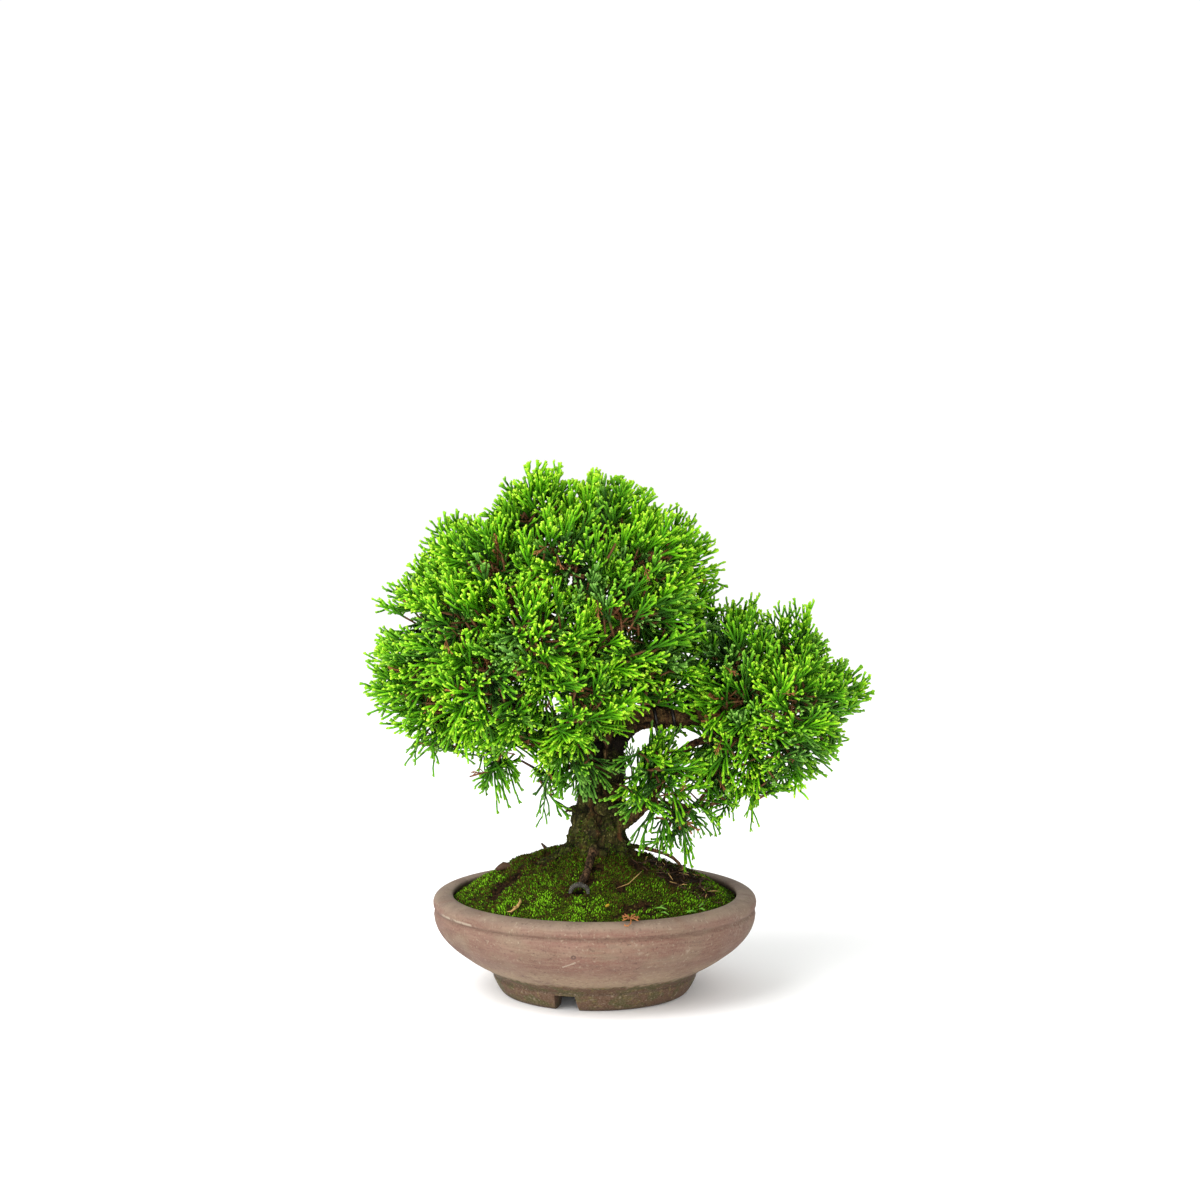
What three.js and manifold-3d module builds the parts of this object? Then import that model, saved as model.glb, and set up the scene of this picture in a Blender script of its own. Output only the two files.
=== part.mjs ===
// Chinese juniper bonsai in a round unglazed pot: millimetres, +Z up, front towards -Y.
// The pot's axis is the Z axis while the pieces are made. At the end the whole group is moved
// so that the middle of its bounding box stands over the origin, with the foot at z = 0.
import * as THREE from "three";
import { mergeVertices } from "three/addons/utils/BufferGeometryUtils.js";
import Module from "manifold-3d";

const wasm = await Module();
wasm.setup();

// Clear gap between pieces that touch, and the extra room kept between two foliage nodes.
const SEAT_GAP = 0.3;
const FOLIAGE_GAP = 0.5;

const TAU = Math.PI * 2;
const UP = new THREE.Vector3(0, 0, 1);

const vec = (x, y, z) => new THREE.Vector3(x, y, z);
const mix = (a, b, t) => a + (b - a) * t;

// Seeded random numbers between 0 and 1.
function seeded(seed) {
  let state = seed;
  return () => {
    state = (state + 0x6d2b79f5) | 0;
    let t = Math.imul(state ^ (state >>> 15), 1 | state);
    t = (t + Math.imul(t ^ (t >>> 7), 61 | t)) ^ t;
    return ((t ^ (t >>> 14)) >>> 0) / 4294967296;
  };
}

// A geometry from a list of points and triangles given as triples of point numbers.
function geometryOf(points, faces) {
  const geometry = new THREE.BufferGeometry();
  geometry.setAttribute(
    "position",
    new THREE.Float32BufferAttribute(points.flatMap((p) => [p.x, p.y, p.z]), 3),
  );
  geometry.setIndex(faces.flat());
  return geometry;
}

// A closed three.js geometry as a solid for joining and cutting.
function solidOf(geometry) {
  const bare = geometry.clone();
  bare.deleteAttribute("normal");
  bare.deleteAttribute("uv");
  const merged = mergeVertices(bare, 1e-4);
  return new wasm.Manifold(
    new wasm.Mesh({
      numProp: 3,
      vertProperties: new Float32Array(merged.attributes.position.array),
      triVerts: new Uint32Array(merged.index.array),
    }),
  );
}

// The largest body of a solid, as a geometry. Loose scraps left by a cut are dropped.
function geometryFrom(solid) {
  const bodies = solid.decompose();
  const largest = bodies.reduce((a, b) => (b.volume() > a.volume() ? b : a));
  const mesh = largest.getMesh();
  const geometry = new THREE.BufferGeometry();
  geometry.setAttribute(
    "position",
    new THREE.Float32BufferAttribute(mesh.vertProperties, 3),
  );
  geometry.setIndex(new THREE.Uint32BufferAttribute(mesh.triVerts, 1));
  return geometry;
}

function named(name, geometry, material) {
  const shaded = geometry.index ? geometry.toNonIndexed() : geometry;
  shaded.computeVertexNormals();
  const mesh = new THREE.Mesh(shaded, material);
  mesh.name = name;
  return mesh;
}

const MATERIALS = {
  clay: new THREE.MeshStandardMaterial({ color: 0x8a7069, roughness: 0.85, metalness: 0 }),
  screen: new THREE.MeshStandardMaterial({ color: 0x1f2326, roughness: 0.6, metalness: 0 }),
  moss: new THREE.MeshStandardMaterial({ color: 0x3c5a12, roughness: 0.95, metalness: 0 }),
  bark: new THREE.MeshStandardMaterial({ color: 0x4a3d2c, roughness: 0.9, metalness: 0 }),
  wire: new THREE.MeshStandardMaterial({ color: 0x26201c, roughness: 0.5, metalness: 0.6 }),
  foliage: new THREE.MeshStandardMaterial({ color: 0x4f9a22, roughness: 0.6, metalness: 0 }),
};

// Pot: one turned clay wall with a rounded rim band, a groove under it, a bowl-shaped body
// and a foot ring. Radii and heights are in millimetres, from the foot up the outside and
// down the inside.
const POT = {
  segments: 48,
  floorTop: 18,
  drainRadius: 9,
  footInner: 42,
  footOuter: 50.6,
  recessTop: 9.5,
  lipInner: 77.8,
  rimTop: 54.6,
};

const POT_OUTSIDE = [
  [POT.footOuter, 0],
  [53.6, 3.6],
  [55.2, 8.8],
  [60.6, 14.8],
  [66.6, 18],
  [74.4, 23.4],
  [81, 28.4],
  [86.2, 35.4],
  [88.4, 42],
  [87.3, 45],
  [88.8, 47],
  [88.6, 50.8],
  [86.2, 53.4],
  [82, POT.rimTop],
  [POT.lipInner, 54],
];

const POT_INSIDE = [
  [79.6, 50],
  [79.4, 40],
  [75.4, 31],
  [66, 24],
  [52, 19.4],
  [36, POT.floorTop],
];

// Three notches through the foot ring let water and air out from under the pot.
const NOTCH = { count: 3, width: 10.8, height: 6.4, frontAngle: THREE.MathUtils.degToRad(252) };

function latheGeometry(outline, segments) {
  const profile = outline.map(([r, z]) => new THREE.Vector2(r, z));
  const geometry = new THREE.LatheGeometry(profile, segments);
  geometry.rotateX(Math.PI / 2);
  return geometry;
}

function potGeometry() {
  const outline = [
    ...POT_OUTSIDE,
    ...POT_INSIDE,
    [POT.drainRadius, POT.floorTop],
    [POT.drainRadius, POT.recessTop],
    [POT.footInner - 3, POT.recessTop],
    [POT.footInner, 0],
    POT_OUTSIDE[0],
  ];
  let pot = solidOf(latheGeometry(outline, POT.segments));
  for (let i = 0; i < NOTCH.count; i++) {
    const angle = NOTCH.frontAngle + (i * TAU) / NOTCH.count;
    const reach = POT.footOuter - POT.footInner + 14;
    const box = new THREE.BoxGeometry(reach, NOTCH.width, 2 * NOTCH.height);
    box.translate((POT.footInner + POT.footOuter) / 2, 0, 0);
    box.rotateZ(angle);
    pot = pot.subtract(solidOf(box));
  }
  return geometryFrom(pot);
}

// Drain screen: a square of plastic mesh on the pot's floor over the drain hole.
const SCREEN = { side: 30, thick: 1, holes: 3, pitch: 8.6, hole: 6.2 };

function screenGeometry() {
  let sheet = solidOf(new THREE.BoxGeometry(SCREEN.side, SCREEN.side, SCREEN.thick));
  const first = (-(SCREEN.holes - 1) * SCREEN.pitch) / 2;
  for (let i = 0; i < SCREEN.holes; i++) {
    for (let j = 0; j < SCREEN.holes; j++) {
      const hole = new THREE.BoxGeometry(SCREEN.hole, SCREEN.hole, SCREEN.thick * 2);
      hole.translate(first + i * SCREEN.pitch, first + j * SCREEN.pitch, 0);
      sheet = sheet.subtract(solidOf(hole));
    }
  }
  const geometry = geometryFrom(sheet);
  geometry.translate(0, 0, POT.floorTop + SEAT_GAP + SCREEN.thick / 2);
  return geometry;
}

// Soil: it fills the bowl and rises in a mound to the foot of the trunk, with small lumps
// and a shallow dip to the right of the trunk where a root arches clear of the ground.
const SOIL = {
  segments: 24,
  rings: [0.34, 0.55, 0.78, 1],
  edgeRadius: 77.2,
  edgeHeight: 52.4,
  rise: 27,
  steepness: 2.2,
  lump: 0.9,
  dip: { x: 34, y: 2, depth: 4.2, reach: 17 },
};

function soilHeight(x, y) {
  const share = Math.min(1, Math.hypot(x, y) / SOIL.edgeRadius);
  const mound = SOIL.rise * (1 - share ** SOIL.steepness);
  const lean = -0.03 * x * (1 - share);
  const waves = Math.sin(x * 0.21 + 1) * Math.cos(y * 0.26) + 0.5 * Math.sin(y * 0.47 + x * 0.1);
  const lumps = SOIL.lump * (1 - share ** 4) * waves;
  const dx = x - SOIL.dip.x;
  const dy = y - SOIL.dip.y;
  const dip = SOIL.dip.depth * Math.exp(-(dx * dx + dy * dy) / SOIL.dip.reach ** 2);
  return SOIL.edgeHeight + mound + lean + lumps - dip;
}

// The soil's underside follows the pot's inside, one seat gap away.
function soilUnderside() {
  const inside = POT_INSIDE.slice(0, -1).map(([r, z]) => [r - SEAT_GAP, z + SEAT_GAP * 0.7]);
  return [...inside, [36, POT.floorTop + SEAT_GAP]];
}

function soilGeometry(wood) {
  const points = [vec(0, 0, soilHeight(0, 0))];
  const faces = [];
  const n = SOIL.segments;
  const ringStart = (k) => 1 + k * n;
  const addRing = (radius, height) => {
    for (let i = 0; i < n; i++) {
      const a = (i * TAU) / n;
      const x = radius * Math.cos(a);
      const y = radius * Math.sin(a);
      points.push(vec(x, y, height(x, y)));
    }
  };
  SOIL.rings.forEach((share) => addRing(share * SOIL.edgeRadius, soilHeight));
  soilUnderside().forEach(([radius, z]) => addRing(radius, () => z));
  const rings = SOIL.rings.length + soilUnderside().length;
  for (let i = 0; i < n; i++) faces.push([0, ringStart(0) + i, ringStart(0) + ((i + 1) % n)]);
  for (let k = 0; k + 1 < rings; k++) {
    for (let i = 0; i < n; i++) {
      const j = (i + 1) % n;
      const [a, b] = [ringStart(k) + i, ringStart(k) + j];
      const [c, d] = [ringStart(k + 1) + i, ringStart(k + 1) + j];
      faces.push([a, c, d], [a, d, b]);
    }
  }
  const base = points.length;
  points.push(vec(0, 0, POT.floorTop + SEAT_GAP));
  for (let i = 0; i < n; i++) {
    faces.push([base, ringStart(rings - 1) + ((i + 1) % n), ringStart(rings - 1) + i]);
  }
  const pocketSide = SCREEN.side + 2 * SEAT_GAP;
  const pocket = new THREE.BoxGeometry(pocketSide, pocketSide, 2 * (SCREEN.thick + 2 * SEAT_GAP));
  pocket.translate(0, 0, POT.floorTop);
  const soil = solidOf(geometryOf(points, faces)).subtract(solidOf(pocket));
  return geometryFrom(soil.subtract(wood));
}

// A round piece of wood along a smooth curve through hand-placed points, each [x, y, z, radius].
// grow widens it all over, which gives the hole that it stands in.
function limbGeometry(limb, grow) {
  const spine = new THREE.CatmullRomCurve3(
    limb.points.map(([x, y, z]) => vec(x, y, z)),
    false,
    "centripetal",
  );
  const steps = limb.steps ?? limb.points.length;
  const sides = limb.sides;
  const frames = spine.computeFrenetFrames(steps, false);
  const points = [];
  const faces = [];
  for (let k = 0; k <= steps; k++) {
    const share = k / steps;
    const along = spine.getUtoTmapping(share) * (limb.points.length - 1);
    const from = Math.min(Math.floor(along), limb.points.length - 2);
    const radius = mix(limb.points[from][3], limb.points[from + 1][3], along - from);
    const centre = spine.getPointAt(share);
    if (k === 0) centre.addScaledVector(frames.tangents[k], -grow);
    if (k === steps) centre.addScaledVector(frames.tangents[k], grow);
    for (let i = 0; i < sides; i++) {
      const a = (i * TAU) / sides;
      const ridge = 1 + (limb.ridge ?? 0) * Math.cos(3 * a + share * 5) * Math.cos(2 * a - share * 3);
      const reach = radius * ridge + grow;
      points.push(
        centre
          .clone()
          .addScaledVector(frames.normals[k], reach * Math.cos(a))
          .addScaledVector(frames.binormals[k], reach * Math.sin(a)),
      );
    }
  }
  for (let k = 0; k < steps; k++) {
    for (let i = 0; i < sides; i++) {
      const j = (i + 1) % sides;
      const a = k * sides + i;
      const b = k * sides + j;
      faces.push([a, b, b + sides], [a, b + sides, a + sides]);
    }
  }
  const end = steps * sides;
  for (let i = 1; i + 1 < sides; i++) {
    faces.push([0, i + 1, i]);
    faces.push([end, end + i, end + i + 1]);
  }
  return geometryOf(points, faces);
}

// Trunk, roots and main branches: [x, y, z, radius] along each.
const WOOD = {
  trunk: {
    sides: 11,
    steps: 15,
    ridge: 0.09,
    points: [
      [3, 3, 40, 16],
      [2.6, 1, 66, 25],
      [2, 0, 78, 21.5],
      [1.2, 0, 84, 16.6],
      [2.4, 0, 96, 14.4],
      [4.1, 0, 110, 13.4],
      [4.2, 1, 124, 13],
      [3.4, 2, 138, 12],
      [4, 4, 152, 10],
      [1, 6, 170, 7.8],
      [-5, 7, 190, 6],
      [-8, 6, 212, 4.6],
      [-10, 4, 234, 3],
      [-13, 3, 250, 1.8],
    ],
  },
  front_root: {
    sides: 7,
    points: [
      [1, -12, 84, 6],
      [-1, -23, 77.5, 4.6],
      [-4, -38, 73, 3.4],
      [-7, -52, 67.5, 2.8],
      [-9, -60, 61, 2.4],
    ],
  },
  left_root: {
    sides: 7,
    points: [
      [-8, -4, 84, 6.5],
      [-20, -7, 76.5, 5],
      [-32, -10, 72.5, 3.6],
      [-46, -16, 65, 2.4],
    ],
  },
  back_root: {
    sides: 6,
    points: [
      [2, 12, 84, 6.5],
      [0, 26, 76, 5],
      [-6, 44, 69, 3],
    ],
  },
  right_root: {
    sides: 6,
    points: [
      [12, -6, 82, 6],
      [24, -14, 73.5, 4.4],
      [38, -24, 67.5, 2.6],
    ],
  },
  // A thin root on the right leaves the trunk's foot and arches clear of the soil.
  arching_root: {
    sides: 5,
    steps: 8,
    points: [
      [12, 4, 79, 1.6],
      [24, 5, 77.6, 1.2],
      [36, 6, 75.2, 1],
      [44, 7, 72.2, 1],
      [52, 8, 63, 0.9],
    ],
  },
  // The front root ends in a ribbed callus, a low arch across it.
  callus: {
    sides: 6,
    steps: 6,
    points: [
      [-16, -57, 65.6, 1.6],
      [-12.5, -57, 68.6, 1.8],
      [-8.8, -57, 69.8, 1.9],
      [-5.4, -58, 68.4, 1.8],
      [-2.4, -59, 65, 1.6],
    ],
  },
  dead_stub: {
    sides: 5,
    steps: 2,
    points: [
      [-6, -2, 100, 3],
      [-13, -3, 100.5, 1.8],
      [-16.5, -3, 98.6, 0.7],
    ],
  },
  // A rounded stump to the right of the knot, left by an old cut.
  stump: {
    sides: 8,
    steps: 3,
    points: [
      [6, -2, 131, 5.5],
      [12, -6, 136, 5.6],
      [15.4, -8, 138.6, 4.4],
    ],
  },
  knot: {
    sides: 8,
    steps: 2,
    points: [
      [2, -4, 132, 7],
      [1, -13, 132.6, 5.6],
    ],
  },
  heavy_branch: {
    sides: 8,
    steps: 9,
    ridge: 0.05,
    points: [
      [6, 2, 134, 7],
      [14, 1, 143, 7.4],
      [25, 0, 150.4, 6.8],
      [54, 0, 151.4, 6.4],
      [68, 1, 156, 5],
      [84, 2, 163, 3.6],
      [100, 2, 170, 2.4],
    ],
  },
  low_branch: {
    sides: 6,
    points: [
      [8, -2, 88, 5],
      [18, -4, 94.6, 4.2],
      [28, -6, 104, 3.2],
      [42, -7, 127, 2.4],
      [53, -8, 137, 2.2],
      [72, -12, 142, 1.6],
    ],
  },
  low_spur: {
    sides: 5,
    steps: 3,
    points: [
      [26, -6, 102, 2.4],
      [38, -9, 104.5, 1.8],
      [52, -12, 103, 1.3],
    ],
  },
  lobe_back_branch: {
    sides: 6,
    points: [
      [60, 2, 153, 4],
      [76, 14, 163, 3],
      [94, 22, 174, 2],
    ],
  },
  lobe_front_branch: {
    sides: 6,
    points: [
      [64, 0, 154, 3.4],
      [80, -14, 158, 2.6],
      [96, -22, 162, 1.8],
    ],
  },
  left_branch: {
    sides: 7,
    points: [
      [0, 1, 136, 6.4],
      [-18, -2, 146, 5.4],
      [-42, -5, 156, 4],
      [-66, -4, 168, 2.6],
      [-80, -3, 176, 1.8],
    ],
  },
  left_high_branch: {
    sides: 6,
    points: [
      [-3, 6, 182, 4.4],
      [-22, 4, 197, 3.6],
      [-44, 2, 212, 2.4],
      [-58, 2, 222, 1.8],
    ],
  },
  back_branch: {
    sides: 6,
    points: [
      [3, 5, 156, 4.6],
      [-6, 24, 170, 3.8],
      [-20, 42, 184, 2.2],
    ],
  },
  front_branch: {
    sides: 6,
    points: [
      [2, 0, 160, 4.4],
      [-10, -18, 172, 3.4],
      [-24, -36, 186, 2.2],
    ],
  },
  right_high_branch: {
    sides: 6,
    points: [
      [-5, 7, 194, 4],
      [12, 6, 208, 3],
      [30, 5, 222, 2],
    ],
  },
};

// Foliage: dense tufts in tiers round the crown's dome and round the lobe on the right.
// wide and deep are the half widths of the oval that the tufts' middles lie on, radius reaches
// out to the shoots' tips, and the tufts face away from the height of their part's heart.
const DOME_HEART = 190;
const LOBE_HEART = 150;
const TIERS = [
  { name: "top", count: 3, at: [-8, 2, 258], wide: 28, deep: 19, turn: 65, radius: 31 },
  { name: "upper", count: 7, at: [-14, 2, 234], wide: 54, deep: 46, turn: 13, radius: 32 },
  { name: "middle", count: 8, at: [-27, 0, 204], wide: 65, deep: 58, turn: 0, radius: 33 },
  { name: "lower", count: 8, at: [-32, 0, 172], wide: 66, deep: 56, turn: 22, radius: 33 },
  { name: "skirt", count: 4, at: [-44, 0, 147], wide: 42, deep: 34, turn: 190, radius: 28 },
  { name: "lobe_top", count: 3, at: [86, 0, 187], wide: 24, deep: 20, turn: 0, radius: 27 },
  { name: "lobe_middle", count: 5, at: [99, 0, 163], wide: 26, deep: 33, turn: 0, radius: 29 },
  { name: "lobe_lower", count: 4, at: [89, -2, 137], wide: 27, deep: 27, turn: 30, radius: 27 },
  { name: "lobe_skirt", count: 2, at: [76, -8, 113], wide: 14, deep: 8, turn: 20, radius: 22 },
];
const TIER_JITTER = 4;

// Tufts that hang below the tiers, each where the photograph shows it.
const SINGLES = [
  { name: "hanging_left", at: [-56, -16, 128], radius: 21, hang: 0.8 },
  { name: "hanging_small", at: [-26, -20, 120], radius: 14, hang: 0.9 },
  { name: "over_trunk", at: [-12, -32, 138], radius: 25, hang: 0.4 },
  { name: "front_low", at: [34, -26, 125], radius: 26, hang: 0.2 },
  { name: "low_fan", at: [46, -12, 98], radius: 24, hang: 1 },
];

// The core's reach across the tuft and outwards, as shares of the tuft's radius.
const CORE = { across: 0.82, outwards: 0.54 };
// Shoots: thickness at the root, how far they lean apart, how near the tuft's outer shell
// they end, the shortest one kept, and how many bursts of three one tuft carries.
const SHOOT = {
  thick: 2.2,
  spreadLeast: 0.1,
  spreadMost: 1.3,
  shellLeast: 0.88,
  shellMost: 1.06,
  shortest: 5,
  burstsPerTuft: 10,
};

function tuftList() {
  const tufts = [];
  for (const tier of TIERS) {
    for (let i = 0; i < tier.count; i++) {
      const random = seeded(tufts.length * 7919 + 11);
      const angle = THREE.MathUtils.degToRad(tier.turn) + (i * TAU) / tier.count;
      const [x, y, z] = tier.at;
      const offset = vec(tier.wide * Math.cos(angle), tier.deep * Math.sin(angle), 0);
      const centre = vec(x, y, z + mix(-TIER_JITTER, TIER_JITTER, random())).add(offset);
      const heart = tier.name.startsWith("lobe") ? LOBE_HEART : DOME_HEART;
      const outward = vec(offset.x, offset.y, (z - heart) * 0.85).normalize();
      tufts.push({
        name: "foliage_" + tier.name + "_" + (i + 1),
        centre,
        outward,
        radius: tier.radius * mix(0.95, 1.05, random()),
        hang: 0,
        random,
      });
    }
  }
  for (const single of SINGLES) {
    const centre = vec(...single.at);
    const outward = vec(centre.x * 0.6, centre.y, -20 * single.hang).normalize();
    tufts.push({
      name: "foliage_" + single.name,
      centre,
      outward,
      radius: single.radius,
      hang: single.hang,
      random: seeded(tufts.length * 7919 + 11),
    });
  }
  return tufts;
}

// The longest shoots end this many tuft radii from the tuft's centre.
const LONGEST_REACH = 1.15;

// The flat walls that keep one tuft clear of its neighbours, each a direction and a reach.
function cellWalls(tuft, tufts) {
  const walls = [];
  for (const other of tufts) {
    if (other === tuft) continue;
    const away = other.centre.clone().sub(tuft.centre);
    const distance = away.length();
    if (distance > (tuft.radius + other.radius) * LONGEST_REACH) continue;
    const weight = tuft.radius ** 2 - other.radius ** 2;
    const reach = (distance ** 2 + weight) / (2 * distance) - FOLIAGE_GAP / 2;
    walls.push({ direction: away.normalize(), reach });
  }
  return walls;
}

// How far a point may lie from the tuft's centre along a direction before it meets a wall.
function roomAlong(walls, direction) {
  let room = Infinity;
  for (const wall of walls) {
    const facing = wall.direction.dot(direction);
    if (facing > 1e-6) room = Math.min(room, wall.reach / facing);
  }
  return room;
}

// Lowest height that foliage may reach at a place, clear of the soil and the pot's rim.
const ROOM_BELOW = 2;
const POT_REACH = 92;
function floorBelow(p) {
  const radius = Math.hypot(p.x, p.y);
  if (radius > POT_REACH) return ROOM_BELOW;
  if (radius > SOIL.edgeRadius) return POT.rimTop + ROOM_BELOW;
  return Math.max(soilHeight(p.x, p.y) + ROOM_BELOW, POT.rimTop);
}

// A test that a shoot from root to tip stays in its cell, above the soil and rim, and clear
// of the branches and of the training wire.
function clearanceTest(tuft, walls, wood) {
  const near = wood.filter(({ line, radius }) => {
    const closest = line.closestPointToPoint(tuft.centre, true, vec(0, 0, 0));
    return closest.distanceTo(tuft.centre) < tuft.radius * LONGEST_REACH + radius;
  });
  return (root, tip) => {
    if (tip.z < floorBelow(tip)) return false;
    const fromCentre = tip.clone().sub(tuft.centre);
    if (walls.some((w) => fromCentre.dot(w.direction) > w.reach)) return false;
    for (const share of [0.25, 0.5, 0.75, 1]) {
      const p = root.clone().lerp(tip, share);
      const room = SHOOT.thick * (1 - share) * 0.6 + SEAT_GAP + 0.4;
      for (const { line, radius } of near) {
        const closest = line.closestPointToPoint(p, true, vec(0, 0, 0));
        if (closest.distanceTo(p) < radius + room) return false;
      }
    }
    return true;
  };
}

// The length of a straight line from a point inside a ball to the ball's surface.
function lengthToShell(fromCentre, heading, radius) {
  const along = fromCentre.dot(heading);
  return Math.sqrt(Math.max(along ** 2 - fromCentre.lengthSq() + radius ** 2, 0)) - along;
}

// A burst of shoots raised from one facet of the core: the facet is opened round a small
// triangle, and each third of that triangle grows into a three-sided pointed shoot.
function addBurst(points, faces, facet, tuft, isClear) {
  const { random } = tuft;
  const corners = facet.map((i) => points[i]);
  const middle = corners[0].clone().add(corners[1]).add(corners[2]).divideScalar(3);
  const normal = corners[1].clone().sub(corners[0]).cross(corners[2].clone().sub(corners[0]));
  normal.normalize();
  const direction = normal
    .clone()
    .addScaledVector(UP, 0.3 - 0.9 * tuft.hang)
    .addScaledVector(vec(mix(-1, 1, random()), mix(-1, 1, random()), 0), 0.2)
    .normalize();
  if (direction.dot(normal) < 0.6) direction.copy(normal);
  const rim = corners.map((corner) => {
    const towards = corner.clone().sub(middle).normalize();
    return middle.clone().addScaledVector(towards, SHOOT.thick);
  });
  const heart = middle.clone().addScaledVector(normal, SHOOT.thick * 0.3);
  const fromCentre = middle.clone().sub(tuft.centre);
  const tips = rim.map((corner, k) => {
    const side = corner.clone().add(rim[(k + 1) % 3]).multiplyScalar(0.5).sub(middle).normalize();
    const spread = mix(SHOOT.spreadLeast, SHOOT.spreadMost, random());
    const heading = direction.clone().addScaledVector(side, spread).normalize();
    const root = middle.clone().addScaledVector(side, SHOOT.thick / 3);
    const shell = tuft.radius * mix(SHOOT.shellLeast, SHOOT.shellMost, random());
    const wanted = lengthToShell(fromCentre, heading, shell);
    for (let length = wanted; length > SHOOT.shortest; length *= 0.85) {
      const tip = root.clone().addScaledVector(heading, length);
      if (isClear(root, tip)) return tip;
    }
    return null;
  });
  if (tips.filter(Boolean).length < 2) return false;
  const b = points.length;
  points.push(...rim, heart);
  tips.forEach((tip, k) => {
    const next = (k + 1) % 3;
    faces.push([facet[k], facet[next], b + next], [facet[k], b + next, b + k]);
    if (!tip) {
      faces.push([b + k, b + next, b + 3]);
      return;
    }
    const t = points.length;
    points.push(tip);
    faces.push([b + k, b + next, t], [b + next, b + 3, t], [b + 3, b + k, t]);
  });
  return true;
}

// One tuft: a small faceted core, clear of its neighbours, with bursts of shoots standing out
// of the facets that face away from the middle of the crown.
function tuftGeometry(tuft, tufts, wood) {
  const walls = cellWalls(tuft, tufts);
  const isClear = clearanceTest(tuft, walls, wood);
  const bare = new THREE.IcosahedronGeometry(1, 0);
  bare.deleteAttribute("normal");
  bare.deleteAttribute("uv");
  const ball = mergeVertices(bare, 1e-4);
  const spin = new THREE.Quaternion().setFromEuler(
    new THREE.Euler(tuft.random() * TAU, tuft.random() * TAU, tuft.random() * TAU),
  );
  const position = ball.attributes.position;
  const points = [];
  for (let i = 0; i < position.count; i++) {
    const direction = vec(position.getX(i), position.getY(i), position.getZ(i));
    direction.normalize().applyQuaternion(spin);
    const facing = Math.abs(direction.dot(tuft.outward));
    const share = mix(CORE.across, CORE.outwards, facing) * mix(0.92, 1.08, tuft.random());
    const wanted = tuft.radius * share;
    const reach = Math.min(wanted, roomAlong(walls, direction));
    const p = tuft.centre.clone().addScaledVector(direction, reach);
    p.z = Math.max(p.z, floorBelow(p));
    points.push(p);
  }
  const facets = [];
  for (let i = 0; i < ball.index.count; i += 3) {
    facets.push([ball.index.getX(i), ball.index.getX(i + 1), ball.index.getX(i + 2)]);
  }
  const facing = (facet) => {
    const middle = vec(0, 0, 0);
    facet.forEach((i) => middle.add(points[i]));
    return middle.divideScalar(3).sub(tuft.centre).normalize().dot(tuft.outward);
  };
  facets.sort((a, b) => facing(b) - facing(a));
  const faces = [];
  let placed = 0;
  for (const facet of facets) {
    const grown = placed < SHOOT.burstsPerTuft && addBurst(points, faces, facet, tuft, isClear);
    if (grown) placed += 1;
    else faces.push(facet);
  }
  return geometryOf(points, faces);
}

// A twig runs from the nearest lower point of the branches into each tuft's core.
const TWIG = { startRadius: 2, endRadius: 1.1, sides: 3, depth: 0.3 };
const BEARING_BRANCHES = [
  "trunk", "heavy_branch", "low_branch", "low_spur", "lobe_back_branch", "lobe_front_branch",
  "left_branch", "left_high_branch", "back_branch", "front_branch", "right_high_branch",
];

function twigTo(tuft) {
  let best = null;
  for (const name of BEARING_BRANCHES) {
    const limb = WOOD[name];
    limb.points.forEach(([x, y, z, radius], i) => {
      if (z < 92 || (name === "trunk" && i < 7)) return;
      const start = vec(x, y, z);
      const climb = tuft.centre.z - z;
      const cost = start.distanceTo(tuft.centre) + (climb < 0 ? -0.8 * climb : 0);
      if (!best || cost < best.cost) best = { cost, start, radius };
    });
  }
  const inward = best.start.clone().sub(tuft.centre);
  const depth = TWIG.depth * tuft.radius;
  const end = tuft.centre.clone().addScaledVector(inward, depth / inward.length());
  const middle = best.start.clone().lerp(end, 0.5);
  middle.z -= 0.08 * inward.length();
  const startRadius = Math.min(TWIG.startRadius, best.radius * 0.8);
  return {
    sides: TWIG.sides,
    steps: 2,
    points: [
      [best.start.x, best.start.y, best.start.z, startRadius],
      [middle.x, middle.y, middle.z, (startRadius + TWIG.endRadius) / 2],
      [end.x, end.y, end.z, TWIG.endRadius],
    ],
  };
}

function woodSolid(limbs, grow) {
  return wasm.Manifold.union(limbs.map((limb) => solidOf(limbGeometry(limb, grow))));
}

// The limbs as straight lines with a radius, for the shoots' clearance test.
function woodLines(limbs) {
  return limbs.flatMap(({ points }) =>
    points.slice(1).map(([x, y, z, radius], i) => {
      const [x0, y0, z0, radius0] = points[i];
      const line = new THREE.Line3(vec(x0, y0, z0), vec(x, y, z));
      return { line, radius: Math.max(radius0, radius) };
    }),
  );
}

// Training wire: a few turns of dark wire round the level stretch of the heavy branch.
const WIRE = {
  radius: 0.9,
  sides: 5,
  steps: 36,
  turns: 2.6,
  from: 27,
  to: 52,
  axis: [0, 151],
  branchRadius: 7.2,
};

class WireTurns extends THREE.Curve {
  getPoint(t, target = new THREE.Vector3()) {
    const a = t * WIRE.turns * TAU - 1;
    const reach = WIRE.branchRadius + SEAT_GAP + WIRE.radius;
    const [y, z] = WIRE.axis;
    return target.set(mix(WIRE.from, WIRE.to, t), y + reach * Math.cos(a), z + reach * Math.sin(a));
  }
}

function wireGeometry(radius) {
  const corners = Array.from({ length: WIRE.sides }, (_, i) => {
    const a = (i * TAU) / WIRE.sides;
    return new THREE.Vector2(radius * Math.cos(a), radius * Math.sin(a));
  });
  return new THREE.ExtrudeGeometry(new THREE.Shape(corners), {
    steps: WIRE.steps,
    bevelEnabled: false,
    extrudePath: new WireTurns(),
  });
}

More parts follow.
